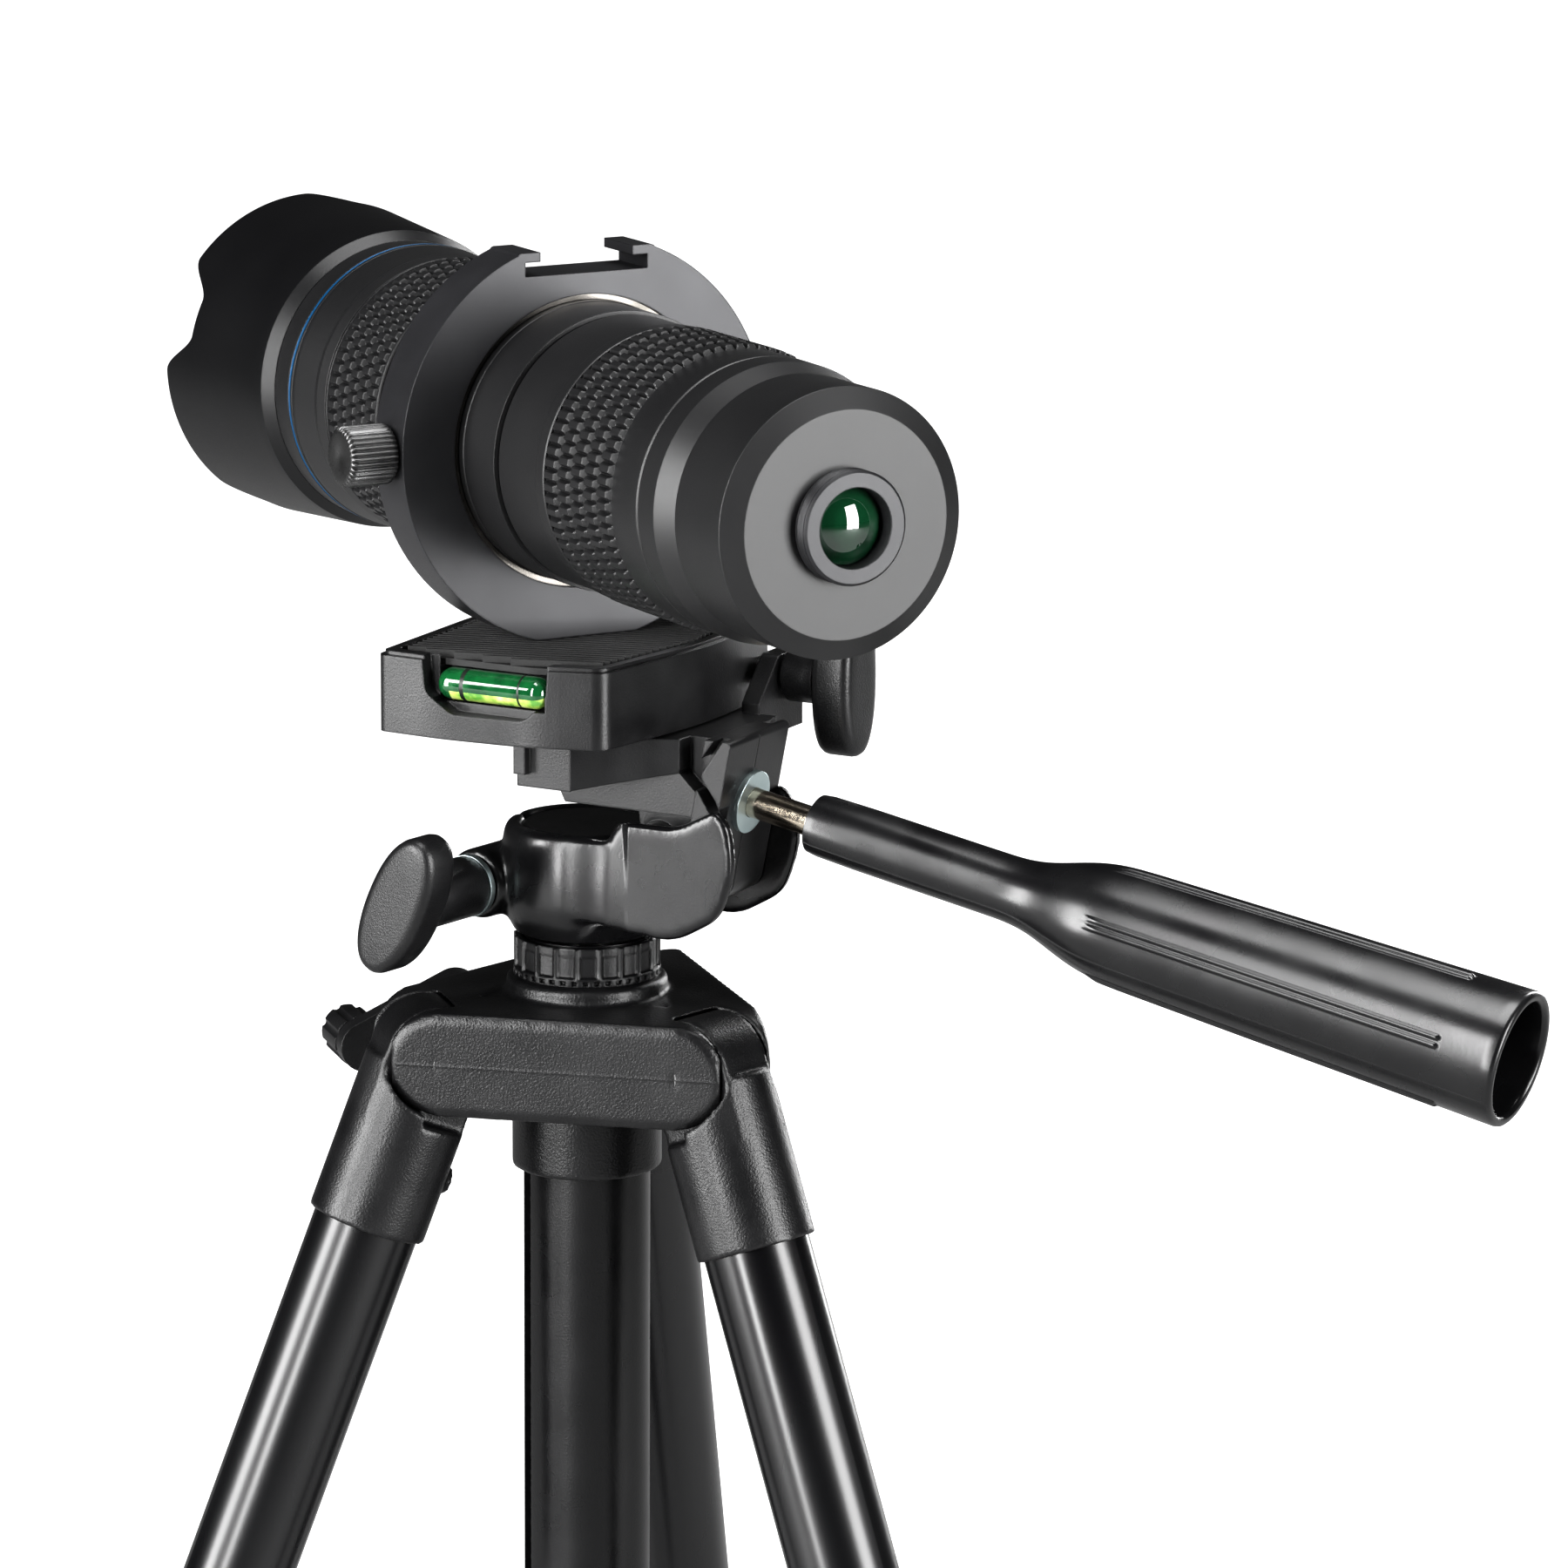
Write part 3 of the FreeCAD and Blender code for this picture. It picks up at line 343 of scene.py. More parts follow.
def ring_of(radius_at, heights, count):
    """Rings of points whose radius is radius_at(angle, height)."""
    verts = []
    for z in heights:
        for j in range(count):
            angle = 2 * math.pi * j / count
            radius = radius_at(angle, z)
            verts.append((radius * math.cos(angle), radius * math.sin(angle), z))
    return verts


def joined(parts):
    """Several (verts, faces) as one."""
    verts, faces = [], []
    for part_verts, part_faces in parts:
        start = len(verts)
        verts.extend(part_verts)
        faces.extend(tuple(i + start for i in face) for face in part_faces)
    return verts, faces


def smooth_step(t):
    t = min(1.0, max(0.0, t))
    return t * t * (3 - 2 * t)


def finish_piece(obj, body, node):
    """The piece rides on a body and stands in for one CAD node."""
    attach(obj, body)
    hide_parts(node)
    return obj


# ---------------------------------------------------------------- knurled rings on the optic
TEETH = 72
TOOTH_ROWS = 5
TOOTH_HEIGHT = 0.85
KNURL_SLOPE_ROUND = 0.45      # share of half a tooth taken by its slope, round the ring
KNURL_SLOPE_ALONG = 0.30      # the same along the optic


def knurl(angle, along, teeth, rows, height):
    """Height of staggered, flat-topped teeth; along runs from 0 to rows."""
    if along <= 0 or along >= rows:
        return 0.0
    row = int(along)
    v = along - row
    u = (angle / (2 * math.pi) * teeth + 0.5 * (row % 2)) % 1.0
    across = abs(2 * u - 1)
    length = abs(2 * v - 1)
    rise = min((1 - across) / KNURL_SLOPE_ROUND, (1 - length) / KNURL_SLOPE_ALONG)
    return height * min(1.0, max(0.0, rise))


def knurled_ring(before, start, end, base, after, inner):
    """Lathe profile with a knurled band: before and after are (radius, y) points of the outside."""
    per_tooth = 12
    count = TEETH * per_tooth
    steps = TOOTH_ROWS * per_tooth
    rings = [(r, y, False) for r, y in before]
    for i in range(steps + 1):
        rings.append((base, start + (end - start) * i / steps, True))
    rings += [(r, y, False) for r, y in after]
    first_y, last_y = rings[0][1], rings[-1][1]
    rings += [(inner, last_y, False), (inner, first_y, False)]
    verts = []
    for radius, y, teeth_here in rings:
        along = (y - start) / (end - start) * TOOTH_ROWS
        for j in range(count):
            angle = 2 * math.pi * j / count
            lift = knurl(angle, along, TEETH, TOOTH_ROWS, TOOTH_HEIGHT) if teeth_here else 0.0
            r = radius + lift
            verts.append((r * math.cos(angle), r * math.sin(angle), y))
    return verts, grid_faces(len(rings), count, True)


before = [(22.1, 24.0), (22.4, 24.2), (22.45, 24.6)]
after = [(22.45, 41.5), (22.4, 41.8), (22.1, 42.0)]
verts, faces = knurled_ring(before, 25.0, 41.2, 21.75, after, 20.1)
finish_piece(piece("focus_ring_knurled", verts, faces, ON_OPTIC, [MATS["optic"]], sharp_deg=25),
             "focus_ring", "focus_ring")
before = [(21.0, -14.8), (21.2, -15.1), (21.2, -27.2), (21.5, -27.5), (21.5, -29.8), (21.35, -30.0)]
after = [(21.1, -50.6), (21.15, -50.9), (21.15, -58.3), (20.9, -58.6)]
verts, faces = knurled_ring(before, -30.0, -50.5, 20.85, after, 18.6)
finish_piece(piece("zoom_ring_knurled", verts, faces, ON_OPTIC, [MATS["optic"]], sharp_deg=25),
             "zoom_ring", "zoom_ring")


# ---------------------------------------------------------------- lens hood
PETAL_STEP = 90.0             # four petals
PETAL_TURN = 161.0
VALLEY_HALF = 21.5            # half width of a valley, degrees
RIM_LOW, RIM_HIGH = 85.5, 93.0
HOOD_START, HOOD_FLOOR = 61.8, 67.0
INSIDE_STEPS, OUTSIDE_STEPS = 39, 13
GROOVE = 0.125                # depth of the fine rings inside the hood
HOOD_COUNT = 360


def hood_rim(angle):
    """Height of the rim: four broad petals with smooth valleys between."""
    turn = (math.degrees(angle) + PETAL_TURN + PETAL_STEP / 2) % PETAL_STEP - PETAL_STEP / 2
    away = abs(turn) / VALLEY_HALF
    return RIM_LOW + (RIM_HIGH - RIM_LOW) * smooth_step((away - 0.30) / 0.70)


def hood_outside(y):
    return 24.25 + (26.4 - 24.25) * (y - 61.6) / 31.0


def hood_inside(y):
    return 22.9 + (24.8 - 22.9) * (y - 66.4) / 26.6


def hood_line(rim):
    """(radius, y) outline of the hood's wall below one point of its rim."""
    line = [(21.0, 59.5), (22.8, 59.5), (24.22, 61.55), (24.26, HOOD_START)]
    for i in range(1, OUTSIDE_STEPS + 1):
        y = HOOD_START + (rim - 0.45 - HOOD_START) * i / OUTSIDE_STEPS
        line.append((hood_outside(y), y))
    line += [(hood_outside(rim) - 0.15, rim - 0.12), (hood_outside(rim) - 0.5, rim),
             (hood_inside(rim) + 0.4, rim), (hood_inside(rim) + 0.05, rim - 0.15)]
    for i in range(1, INSIDE_STEPS + 1):
        y = rim - 0.5 - (rim - 0.5 - HOOD_FLOOR) * i / INSIDE_STEPS
        line.append((hood_inside(y) + (GROOVE if i % 2 else 0.0), y))
    return line + [(22.6, 66.4), (21.0, 66.0)]


hood_angles = [2 * math.pi * j / HOOD_COUNT for j in range(HOOD_COUNT)]
hood_lines = [hood_line(hood_rim(angle)) for angle in hood_angles]
verts = []
for points in zip(*hood_lines):
    verts += [(r * math.cos(a), r * math.sin(a), y) for a, (r, y) in zip(hood_angles, points)]
faces = grid_faces(len(hood_lines[0]), HOOD_COUNT, True)
finish_piece(piece("petal_hood", verts, faces, ON_OPTIC, [MATS["hood"]], sharp_deg=22),
             "scope", "lens_hood")


# ---------------------------------------------------------------- accent ring
profile = [(22.2, 52.9), (22.95, 52.9), (23.0, 53.1), (23.0, 53.45), (22.9, 53.5), (22.9, 54.05),
           (23.0, 54.1), (22.95, 54.3), (22.2, 54.3)]
ACCENT_COUNT = 256
verts, faces = turned(profile, ACCENT_COUNT)
kinds = [1 if 3 <= i // ACCENT_COUNT <= 5 else 0 for i in range(len(faces))]      # blue in the groove
finish_piece(piece("accent_ring_groove", verts, faces, ON_OPTIC, [MATS["optic"], MATS["blue"]], kinds),
             "scope", "accent_ring")


# ---------------------------------------------------------------- eyepiece thread and lens
CAP_FACE = -83.0
THREAD_PITCH = 0.55
THREAD_DEPTH = 0.28
THREAD_R = 8.5
THREAD_COUNT = 144


def thread_radius(angle, y):
    """Fine external thread between the root and the crest."""
    phase = (y - CAP_FACE) / THREAD_PITCH - angle / (2 * math.pi)
    wave = abs(2 * (phase % 1.0) - 1)
    fade = smooth_step((y + 85.5) / 0.5) * smooth_step((-83.1 - y) / 0.2)
    return THREAD_R - THREAD_DEPTH * wave * fade


thread_stations = [CAP_FACE] + [CAP_FACE - 0.05 - 2.4 * i / 60 for i in range(61)]
outer_verts = ring_of(thread_radius, thread_stations, THREAD_COUNT)
inside = [(8.1, -85.8), (6.05, -85.8), (5.95, -85.7), (5.9, -83.8), (5.86, -82.0), (5.8, -81.4),
          (5.8, -79.8), (7.0, -79.8), (7.0, CAP_FACE)]
inner_verts, _ = turned(inside, THREAD_COUNT)
faces = grid_faces(len(thread_stations) + len(inside), THREAD_COUNT, True)
finish_piece(piece("eyepiece_thread", outer_verts + inner_verts, faces, ON_OPTIC, [MATS["turned"]],
                   sharp_deg=30), "scope", "eyepiece_thread_ring")

EYE_TOP, EYE_CURVE, EYE_R = -85.2, 8.6, 5.75
NEAR_AXIS = 0.001             # radius of the last ring where a turned form closes
dome = [(NEAR_AXIS, EYE_TOP)]
for i in range(1, 15):
    r = EYE_R * i / 14
    dome.append((r, EYE_TOP + (EYE_CURVE - math.sqrt(EYE_CURVE * EYE_CURVE - r * r))))
dome += [(5.78, -82.0), (5.78, -80.8), (NEAR_AXIS, -80.8)]
verts, faces = turned(dome, 96)
finish_piece(piece("eye_lens_dome", verts, faces, ON_OPTIC, [MATS["eye"]]),
             "scope", "eye_lens")


# ---------------------------------------------------------------- ring thumbscrew
def fluted(radius, depth, count, angle):
    """Straight knurl with rounded crests."""
    wave = 0.5 + 0.5 * math.cos(angle * count)
    return radius - depth * (1 - wave) ** 1.4


FLUTES = 33
FLUTE_DEPTH = 0.42
SCREW_COUNT = FLUTES * 8
profile = [(NEAR_AXIS, -39.9, False), (1.0, -39.92, False), (1.2, -39.98, False), (3.4, -40.0, False),
           (4.1, -39.95, False), (4.45, -39.75, True), (4.65, -39.4, True), (4.7, -39.0, True),
           (4.7, -36.0, True), (4.7, -33.0, True), (4.65, -32.5, True), (4.45, -32.2, True),
           (4.0, -32.0, False), (2.0, -32.0, False), (2.0, -22.4, False), (NEAR_AXIS, -22.3, False)]
verts = []
for radius, z, cut in profile:
    for j in range(SCREW_COUNT):
        angle = 2 * math.pi * j / SCREW_COUNT
        r = fluted(radius, FLUTE_DEPTH, FLUTES, angle) if cut else radius
        verts.append((r * math.cos(angle), r * math.sin(angle), z))
faces = grid_faces(len(profile), SCREW_COUNT, True)
finish_piece(piece("thumbscrew_knurled", verts, faces, THUMB, [MATS["steel"]], sharp_deg=40),
             "ring_thumbscrew", "ring_thumbscrew")


# ---------------------------------------------------------------- handle grip
RIB_AZIMUTHS = [168.0 + 72.0 * i for i in range(5)]
SEAM_AZIMUTHS = (208.0, 28.0)
RIB_HEIGHT, RIB_OFFSET, RIB_HALF = 0.34, 0.62, 0.5
SEAM_HEIGHT, SEAM_HALF = 0.07, 0.16


def grip_radius(d):
    """Outside of the grip at a distance from the washer."""
    outline = [(11.0, 4.35), (12.0, 4.85), (20.0, 4.95), (44.0, 5.0), (47.0, 5.12), (50.0, 5.6),
               (53.0, 6.5), (56.0, 7.5), (59.0, 8.35), (62.0, 8.85), (66.0, 9.1), (90.0, 9.65),
               (110.0, 10.05), (126.0, 10.4), (129.6, 10.48)]
    for (d0, r0), (d1, r1) in zip(outline, outline[1:]):
        if d <= d1:
            t = max(0.0, (d - d0) / (d1 - d0))
            return r0 + (r1 - r0) * t
    return outline[-1][1]


def grip_smooth(d):
    """Grip outside with the corners between stations taken off."""
    return sum(grip_radius(d + shift) for shift in (-1.5, -0.75, 0.0, 0.75, 1.5)) / 5


def grip_lift(angle, d):
    """Twin ribs in groups, and the thin parting line."""
    def side_of(middle):
        """Distance round the grip from a line at the azimuth middle."""
        off = (math.degrees(angle) - middle + 180.0) % 360.0 - 180.0
        return abs(math.radians(off) * grip_radius(d))

    ends = smooth_step((d - 61.0) / 3.0) * smooth_step((121.0 - d) / 0.5)
    lift = 0.0
    for middle in RIB_AZIMUTHS:
        lift += RIB_HEIGHT * max(0.0, 1 - (abs(side_of(middle) - RIB_OFFSET) / RIB_HALF) ** 2) * ends
    for middle in SEAM_AZIMUTHS:
        lift += SEAM_HEIGHT * max(0.0, 1 - side_of(middle) / SEAM_HALF)
    return lift


def grip_angles():
    """Even steps, with extra ones where the ribs and the parting lines stand."""
    angles = {round(i * 2.5, 3) for i in range(144)}
    for middle in RIB_AZIMUTHS:
        angles |= {round((middle + step * 0.7) % 360.0, 3) for step in range(-12, 13)}
    for middle in SEAM_AZIMUTHS:
        angles |= {round((middle + step) % 360.0, 3) for step in (-1.2, -0.9, 0.0, 0.9, 1.2)}
    return sorted(angles)


angles = [math.radians(a) for a in grip_angles()]
stations = [11.35, 11.6, 12.0, 13.0, 20.0, 30.0, 40.0] + [44.0 + i for i in range(17)]
stations += [61.0 + 0.5 * i for i in range(9)] + [68.0, 72.0, 80.0, 90.0, 100.0, 110.0, 118.0, 120.0]
stations += [120.4, 120.6, 120.8, 121.0, 121.5, 124.0, 128.0, 129.6]
verts = []
for radius in (2.4, 4.0):
    verts += [(radius * math.cos(a), radius * math.sin(a), 11.0) for a in angles]
for d in stations:
    for a in angles:
        r = grip_smooth(d) + grip_lift(a, d)
        verts.append((r * math.cos(a), r * math.sin(a), d))
closing = [(10.35, 130.1), (10.0, 130.4), (9.3, 130.4), (8.95, 130.2), (8.75, 129.6), (8.6, 120.0),
           (7.6, 70.0), (3.4, 62.0), (3.4, 28.4), (2.4, 28.4)]
for radius, d in closing:
    verts += [(radius * math.cos(a), radius * math.sin(a), d) for a in angles]
faces = grid_faces(2 + len(stations) + len(closing), len(angles), True)
finish_piece(piece("handle_grip_ribbed", verts, faces, ON_HANDLE, [MATS["grip"]], sharp_deg=50),
             "handle", "handle_grip")


# ---------------------------------------------------------------- column lock ring
LOCK_FLUTES = 20
LOCK_R = 11.6
LOCK_DEPTH = 0.5
LOCK_COUNT = 360


def lock_radius(angle, z):
    """Wide shallow flutes with narrow lands between, and notches along the bottom."""
    phase = (angle / (2 * math.pi) * LOCK_FLUTES) % 1.0
    off = abs(2 * phase - 1)
    flute = smooth_step((1 - off) / 0.35) if off > 0.65 else 1.0
    depth = LOCK_DEPTH * flute * smooth_step((z - 12.2) / 0.25) * smooth_step((17.2 - z) / 0.2)
    notch = LOCK_DEPTH if (phase + 0.25) % 0.5 < 0.25 and 11.25 < z < 11.95 else 0.0
    return LOCK_R - max(depth, notch)


lock_heights = [11.1, 11.2, 11.3, 11.6, 11.9, 12.0, 12.2, 12.35, 12.5, 13.5, 15.0, 16.5, 16.9, 17.0]
outer = ring_of(lock_radius, lock_heights, LOCK_COUNT)
lock_inside = [(11.2, 17.1), (10.35, 17.1), (10.3, 17.0), (10.3, 15.8), (11.03, 15.8), (11.03, 11.1)]
inner, _ = turned(lock_inside, LOCK_COUNT)
faces = grid_faces(len(lock_heights) + len(lock_inside), LOCK_COUNT, True)
finish_piece(piece("lock_ring_fluted", outer + inner, faces, ON_COLUMN, [MATS["head"]], sharp_deg=30),
             "lock_ring", "column_lock_ring")


# ---------------------------------------------------------------- clamp paddles
PADDLE_HALF_Y, PADDLE_HALF_Z = 5.5, 12.2
PADDLE_COUNT = 72
OVAL_POWER = 2.0 / 2.2


def round_ring(x, half_y, half_z):
    """Ellipse of points across the screw."""
    angles = [2 * math.pi * j / PADDLE_COUNT for j in range(PADDLE_COUNT)]
    return [(x, half_y * math.cos(a), half_z * math.sin(a)) for a in angles]


def oval(inset):
    """Rounded-end outline of a paddle, long way Z, drawn in by inset."""
    points = []
    for j in range(PADDLE_COUNT):
        a = 2 * math.pi * j / PADDLE_COUNT
        c, s = math.cos(a), math.sin(a)
        y = math.copysign(abs(c) ** OVAL_POWER, c) * (PADDLE_HALF_Y - inset)
        z = math.copysign(abs(s) ** OVAL_POWER, s) * (PADDLE_HALF_Z - inset)
        points.append((y, z))
    return points


def paddle(start, thickness, lean, neck_radius, neck_start, bolt):
    """Paddle with rounded rims on a flared neck. Screw along +X."""
    c, s = math.cos(math.radians(lean)), math.sin(math.radians(lean))

    def leant(x, outline):
        return [(x, y * c - z * s, y * s + z * c) for y, z in outline]

    rings = [round_ring(bolt[0][0], 0.0005, 0.0005)]
    rings += [round_ring(x, radius, radius) for x, radius in bolt]
    neck = [(neck_start, neck_radius - 0.3), (neck_start + 0.3, neck_radius), (start - 1.6, neck_radius),
            (start - 0.7, neck_radius + 0.15), (start - 0.2, neck_radius + 0.3),
            (start + 0.02, neck_radius + 0.5)]
    rings += [round_ring(x, min(radius, 4.85), radius) for x, radius in neck]
    rims = [(0.0, 1.7), (0.05, 1.15), (0.35, 0.55), (0.9, 0.15), (1.6, 0.0), (thickness - 1.6, 0.0),
            (thickness - 0.9, 0.15), (thickness - 0.35, 0.55), (thickness - 0.05, 1.15), (thickness, 1.8)]
    rings += [leant(start + x, oval(inset)) for x, inset in rims]
    for shrink in (0.55, 0.0005):
        rings.append(leant(start + thickness, [(p * shrink, q * shrink) for p, q in oval(1.8)]))
    verts = [point for ring in rings for point in ring]
    return verts, grid_faces(len(rings), PADDLE_COUNT)


verts, faces = paddle(26.3, 7.0, -27.0, 4.8, 14.95, [(14.95, 2.05)])
finish_piece(piece("pan_knob_paddle", verts, faces, PAN_SCREW, [MATS["knob"]], sharp_deg=50), "pan_knob",
             "pan_knob")
verts, faces = paddle(30.2, 6.8, 0.0, 4.4, 24.4, [(-26.4, 2.0), (24.4, 2.0)])
finish_piece(piece("flip_knob_paddle", verts, faces, FLIP_SCREW, [MATS["knob"]], sharp_deg=50), "flip_knob",
             "flip_knob")


# ---------------------------------------------------------------- platform pad
PLATFORM_PLAN = [(-28.2, 20.9), (-28.8, 9.0), (-27.6, -5.5), (-23.9, -16.6), (3.0, -20.7), (26.9, -18.0),
                 (27.3, 1.0), (26.9, 20.4), (2.0, 22.2)]
PAD_SCALE = 0.888
PAD_EDGE = -24.6              # the pad stops here, beside the level
RIB_DIRECTION = math.radians(108.0)
RIB_PITCH = 1.55
RIB_WIDTH = 0.76


def shrunk(plan, scale):
    """Plan outline drawn in about the platform's middle."""
    return [(x * scale, 1.0 + (y - 1.0) * scale) for x, y in plan]


def pad_plan():
    """Pad outline, counter-clockwise, cut straight beside the level."""
    return clipped(shrunk(PLATFORM_PLAN, PAD_SCALE), Vector((1, 0)), PAD_EDGE)


def clipped(plan, normal, offset):
    """Part of a convex outline where point . normal >= offset."""
    kept = []
    for i, point in enumerate(plan):
        a, b = Vector(plan[i - 1]), Vector(point)
        da, db = a.dot(normal) - offset, b.dot(normal) - offset
        if (da < 0) != (db < 0):
            cut = a.lerp(b, da / (da - db))
            kept.append((cut.x, cut.y))
        if db >= 0:
            kept.append(point)
    return kept


def prism_mesh(plan, levels):
    """Outline lofted through (height, inset towards its middle) levels, closed at both ends."""
    cx = sum(x for x, _ in plan) / len(plan)
    cy = sum(y for _, y in plan) / len(plan)
    verts = []
    for z, inset in levels:
        for x, y in plan:
            away = Vector((x - cx, y - cy))
            scale = max(0.0, 1 - inset / max(away.length, 1e-6))
            verts.append((cx + away.x * scale, cy + away.y * scale, z))
    n = len(plan)
    faces = grid_faces(len(levels), n)
    faces.append(tuple(reversed(range(n))))
    faces.append(tuple((len(levels) - 1) * n + i for i in range(n)))
    return verts, faces


def rib(plan, offset, along, across):
    """One straight rib of the pad, or None where the outline leaves no room for it."""
    strip = clipped(plan, across, offset - RIB_WIDTH / 2)
    strip = clipped(strip, -across, -(offset + RIB_WIDTH / 2)) if len(strip) > 2 else []
    spans = [Vector(point).dot(along) for point in strip]
    if len(strip) < 3 or max(spans) - min(spans) < 2.0:
        return None
    section = [(-0.38, 64.3), (0.38, 64.3), (0.34, 65.2), (0.18, 65.48), (-0.18, 65.48), (-0.34, 65.2)]
    rib_verts = []
    for span in (min(spans) + 0.3, max(spans) - 0.3):
        for side, z in section:
            point = across * (offset + side) + along * span
            rib_verts.append((point.x, point.y, z))
    rib_faces = [tuple(reversed(range(6))), tuple(range(6, 12))]
    rib_faces += [(j, (j + 1) % 6, 6 + (j + 1) % 6, 6 + j) for j in range(6)]
    return rib_verts, rib_faces


plan = pad_plan()
along = Vector((math.cos(RIB_DIRECTION), math.sin(RIB_DIRECTION)))
across = Vector((-along.y, along.x))
ribs = [rib(shrunk(plan, 0.975), i * RIB_PITCH, along, across) for i in range(-24, 25)]
base = prism_mesh(plan, [(63.4, 0.0), (64.35, 0.0), (64.45, 0.1)])
verts, faces = joined([base] + [made for made in ribs if made])
finish_piece(piece("ribbed_pad", verts, faces, ON_HEAD, [MATS["pad"]], sharp_deg=40), "platform",
             "platform_pad")


# ---------------------------------------------------------------- level vial
def vial_material():
    """Green spirit behind clear plastic."""
    shade = Shade("vial_spirit", rough=0.05, coat=1.0, coat_rough=0.02)
    patch = shade.noise(500.0, 2.0)
    shade.colour(shade.ramp(patch, [(0.3, (0.003, 0.055, 0.016)), (0.7, (0.008, 0.11, 0.03))]))
    shade.roughness(shade.spread(patch, 0.03, 0.08))
    return shade.mat


def painted_glow_material():
    """Painted light: pale yellow-green colour standing in for light shining up through the vial from its
    pale backing.
    """
    shade = Shade("vial_painted_glow", rough=0.15, coat=1.0, coat_rough=0.02)
    patch = shade.noise(420.0, 3.0)
    shade.colour(shade.ramp(patch, [(0.35, (0.12, 0.34, 0.05)), (0.55, (0.50, 0.66, 0.14)),
                                    (0.75, (0.72, 0.80, 0.35))]))
    shade.roughness(shade.spread(patch, 0.08, 0.2))
    return shade.mat


def line_material():
    """Printed mark round the vial."""
    shade = Shade("vial_line", rough=0.4)
    patch = shade.noise(600.0, 1.0)
    shade.colour(shade.ramp(patch, [(0.3, (0.004, 0.008, 0.005)), (0.7, (0.010, 0.016, 0.010))]))
    return shade.mat


VIAL_X, VIAL_H = -25.3, 60.8
VIAL_R = 2.5
VIAL_MARKS = (6.3, -3.8)
VIAL_COUNT = 64
VIAL_LINE = [(-7.9, 0.8), (-7.75, 1.4), (-7.4, 1.9), (-6.9, 2.25), (-6.3, 2.45), (-5.7, VIAL_R)]
VIAL_LINE += [(-5.7 + 14.5 * i / 40, VIAL_R) for i in range(1, 41)]
VIAL_LINE += [(9.4, 2.45), (10.0, 2.25), (10.5, 1.9), (10.85, 1.4), (11.0, 0.8)]
SPIRIT, PAINTED_GLOW, MARK = range(3)


def vial_kind(angle, y):
    """Which of the vial's three materials shows at a place on it."""
    if any(abs(y - mark) < 0.24 for mark in VIAL_MARKS):
        return MARK
    # Painted light: the lower side of the vial, below 8.5 along it, takes the painted glow colour; the rest
    # is the spirit's own green.
    return PAINTED_GLOW if 198 < angle < 300 and y < 8.5 else SPIRIT


verts, kinds = [], []
for y, r in VIAL_LINE:
    for j in range(VIAL_COUNT):
        a = 2 * math.pi * j / VIAL_COUNT
        verts.append((VIAL_X + r * math.cos(a), y, VIAL_H + r * math.sin(a)))
for (y0, _), (y1, _) in zip(VIAL_LINE, VIAL_LINE[1:]):
    kinds += [vial_kind(360.0 * (j + 0.5) / VIAL_COUNT, (y0 + y1) / 2) for j in range(VIAL_COUNT)]
faces = grid_faces(len(VIAL_LINE), VIAL_COUNT)
faces += [tuple(range(VIAL_COUNT)), tuple(reversed(range(len(verts) - VIAL_COUNT, len(verts))))]
kinds += [SPIRIT, SPIRIT]
finish_piece(piece("spirit_level", verts, faces, ON_HEAD,
                   [vial_material(), painted_glow_material(), line_material()], kinds),
             "platform", "level_vial")


# ---------------------------------------------------------------- tilt axle
axle = [(NEAR_AXIS, -10.9), (1.7, -10.9), (2.0, -10.6), (2.0, 10.6), (1.7, 10.9), (NEAR_AXIS, 10.9)]
verts, faces = turned(axle, 48)
TILT_AXIS = ON_HEAD @ Matrix.Translation((0, TILT_Y, TILT_H)) @ turn_about("Y", 90.0)
finish_piece(piece("tilt_axle_pin", verts, faces, TILT_AXIS, [MATS["steel"]], sharp_deg=40),
             "pan", "tilt_axle")


# ---------------------------------------------------------------- castings with moulded fillets
def evaluated(obj):
    """Mesh of an object with its modifiers applied."""
    graph = bpy.context.evaluated_depsgraph_get()
    return bpy.data.meshes.new_from_object(obj.evaluated_get(graph))


def softened(name, node, body, mat, voxel, rounds, extra=None, shape=None):
    """A casting's CAD surface with its edges and inside corners rounded as a mould leaves them."""
    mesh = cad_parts[node].data.copy()
    obj = bpy.data.objects.new(name, mesh)
    bpy.context.scene.collection.objects.link(obj)
    remesh = obj.modifiers.new("remesh", "REMESH")
    remesh.mode = "VOXEL"
    remesh.voxel_size = voxel * MM
    smooth = obj.modifiers.new("smooth", "SMOOTH")
    smooth.factor = 0.5
    smooth.iterations = rounds
    new_mesh = evaluated(obj)
    obj.modifiers.clear()
    obj.data = new_mesh
    if shape:
        for vertex in new_mesh.vertices:
            vertex.co = shape(vertex.co)
    if extra:
        bm = bmesh.new()
        bm.from_mesh(new_mesh)
        bm.from_mesh(extra.data)
        bm.to_mesh(new_mesh)
        bm.free()
        bpy.data.objects.remove(extra)
    new_mesh.materials.clear()
    new_mesh.materials.append(mat)
    for polygon in new_mesh.polygons:
        polygon.use_smooth = True
        polygon.material_index = 0
    return finish_piece(obj, body, node)


def bead(points, width, height, normal):
    """Thin raised line along points, standing on a surface with the given normal."""
    verts, faces = [], []
    for i, point in enumerate(points):
        here = Vector(point)
        ahead = Vector(points[min(i + 1, len(points) - 1)]) - Vector(points[max(i - 1, 0)])
        side = ahead.cross(normal).normalized() * (width / 2)
        lift = Vector(normal).normalized() * height
        verts += [tuple(here - side - lift), tuple(here - side * 0.5 + lift),
                  tuple(here + side * 0.5 + lift), tuple(here + side - lift)]
    for i in range(len(points) - 1):
        for j in range(4):
            k = (j + 1) % 4
            faces.append((4 * i + j, 4 * i + k, 4 * i + 4 + k, 4 * i + 4 + j))
    last = 4 * (len(points) - 1)
    faces += [(0, 1, 2, 3), (last + 3, last + 2, last + 1, last)]
    return verts, faces


TO_HEAD = ON_HEAD.inverted()


SEAM_H = 26.4
SEAM_R = 13.36


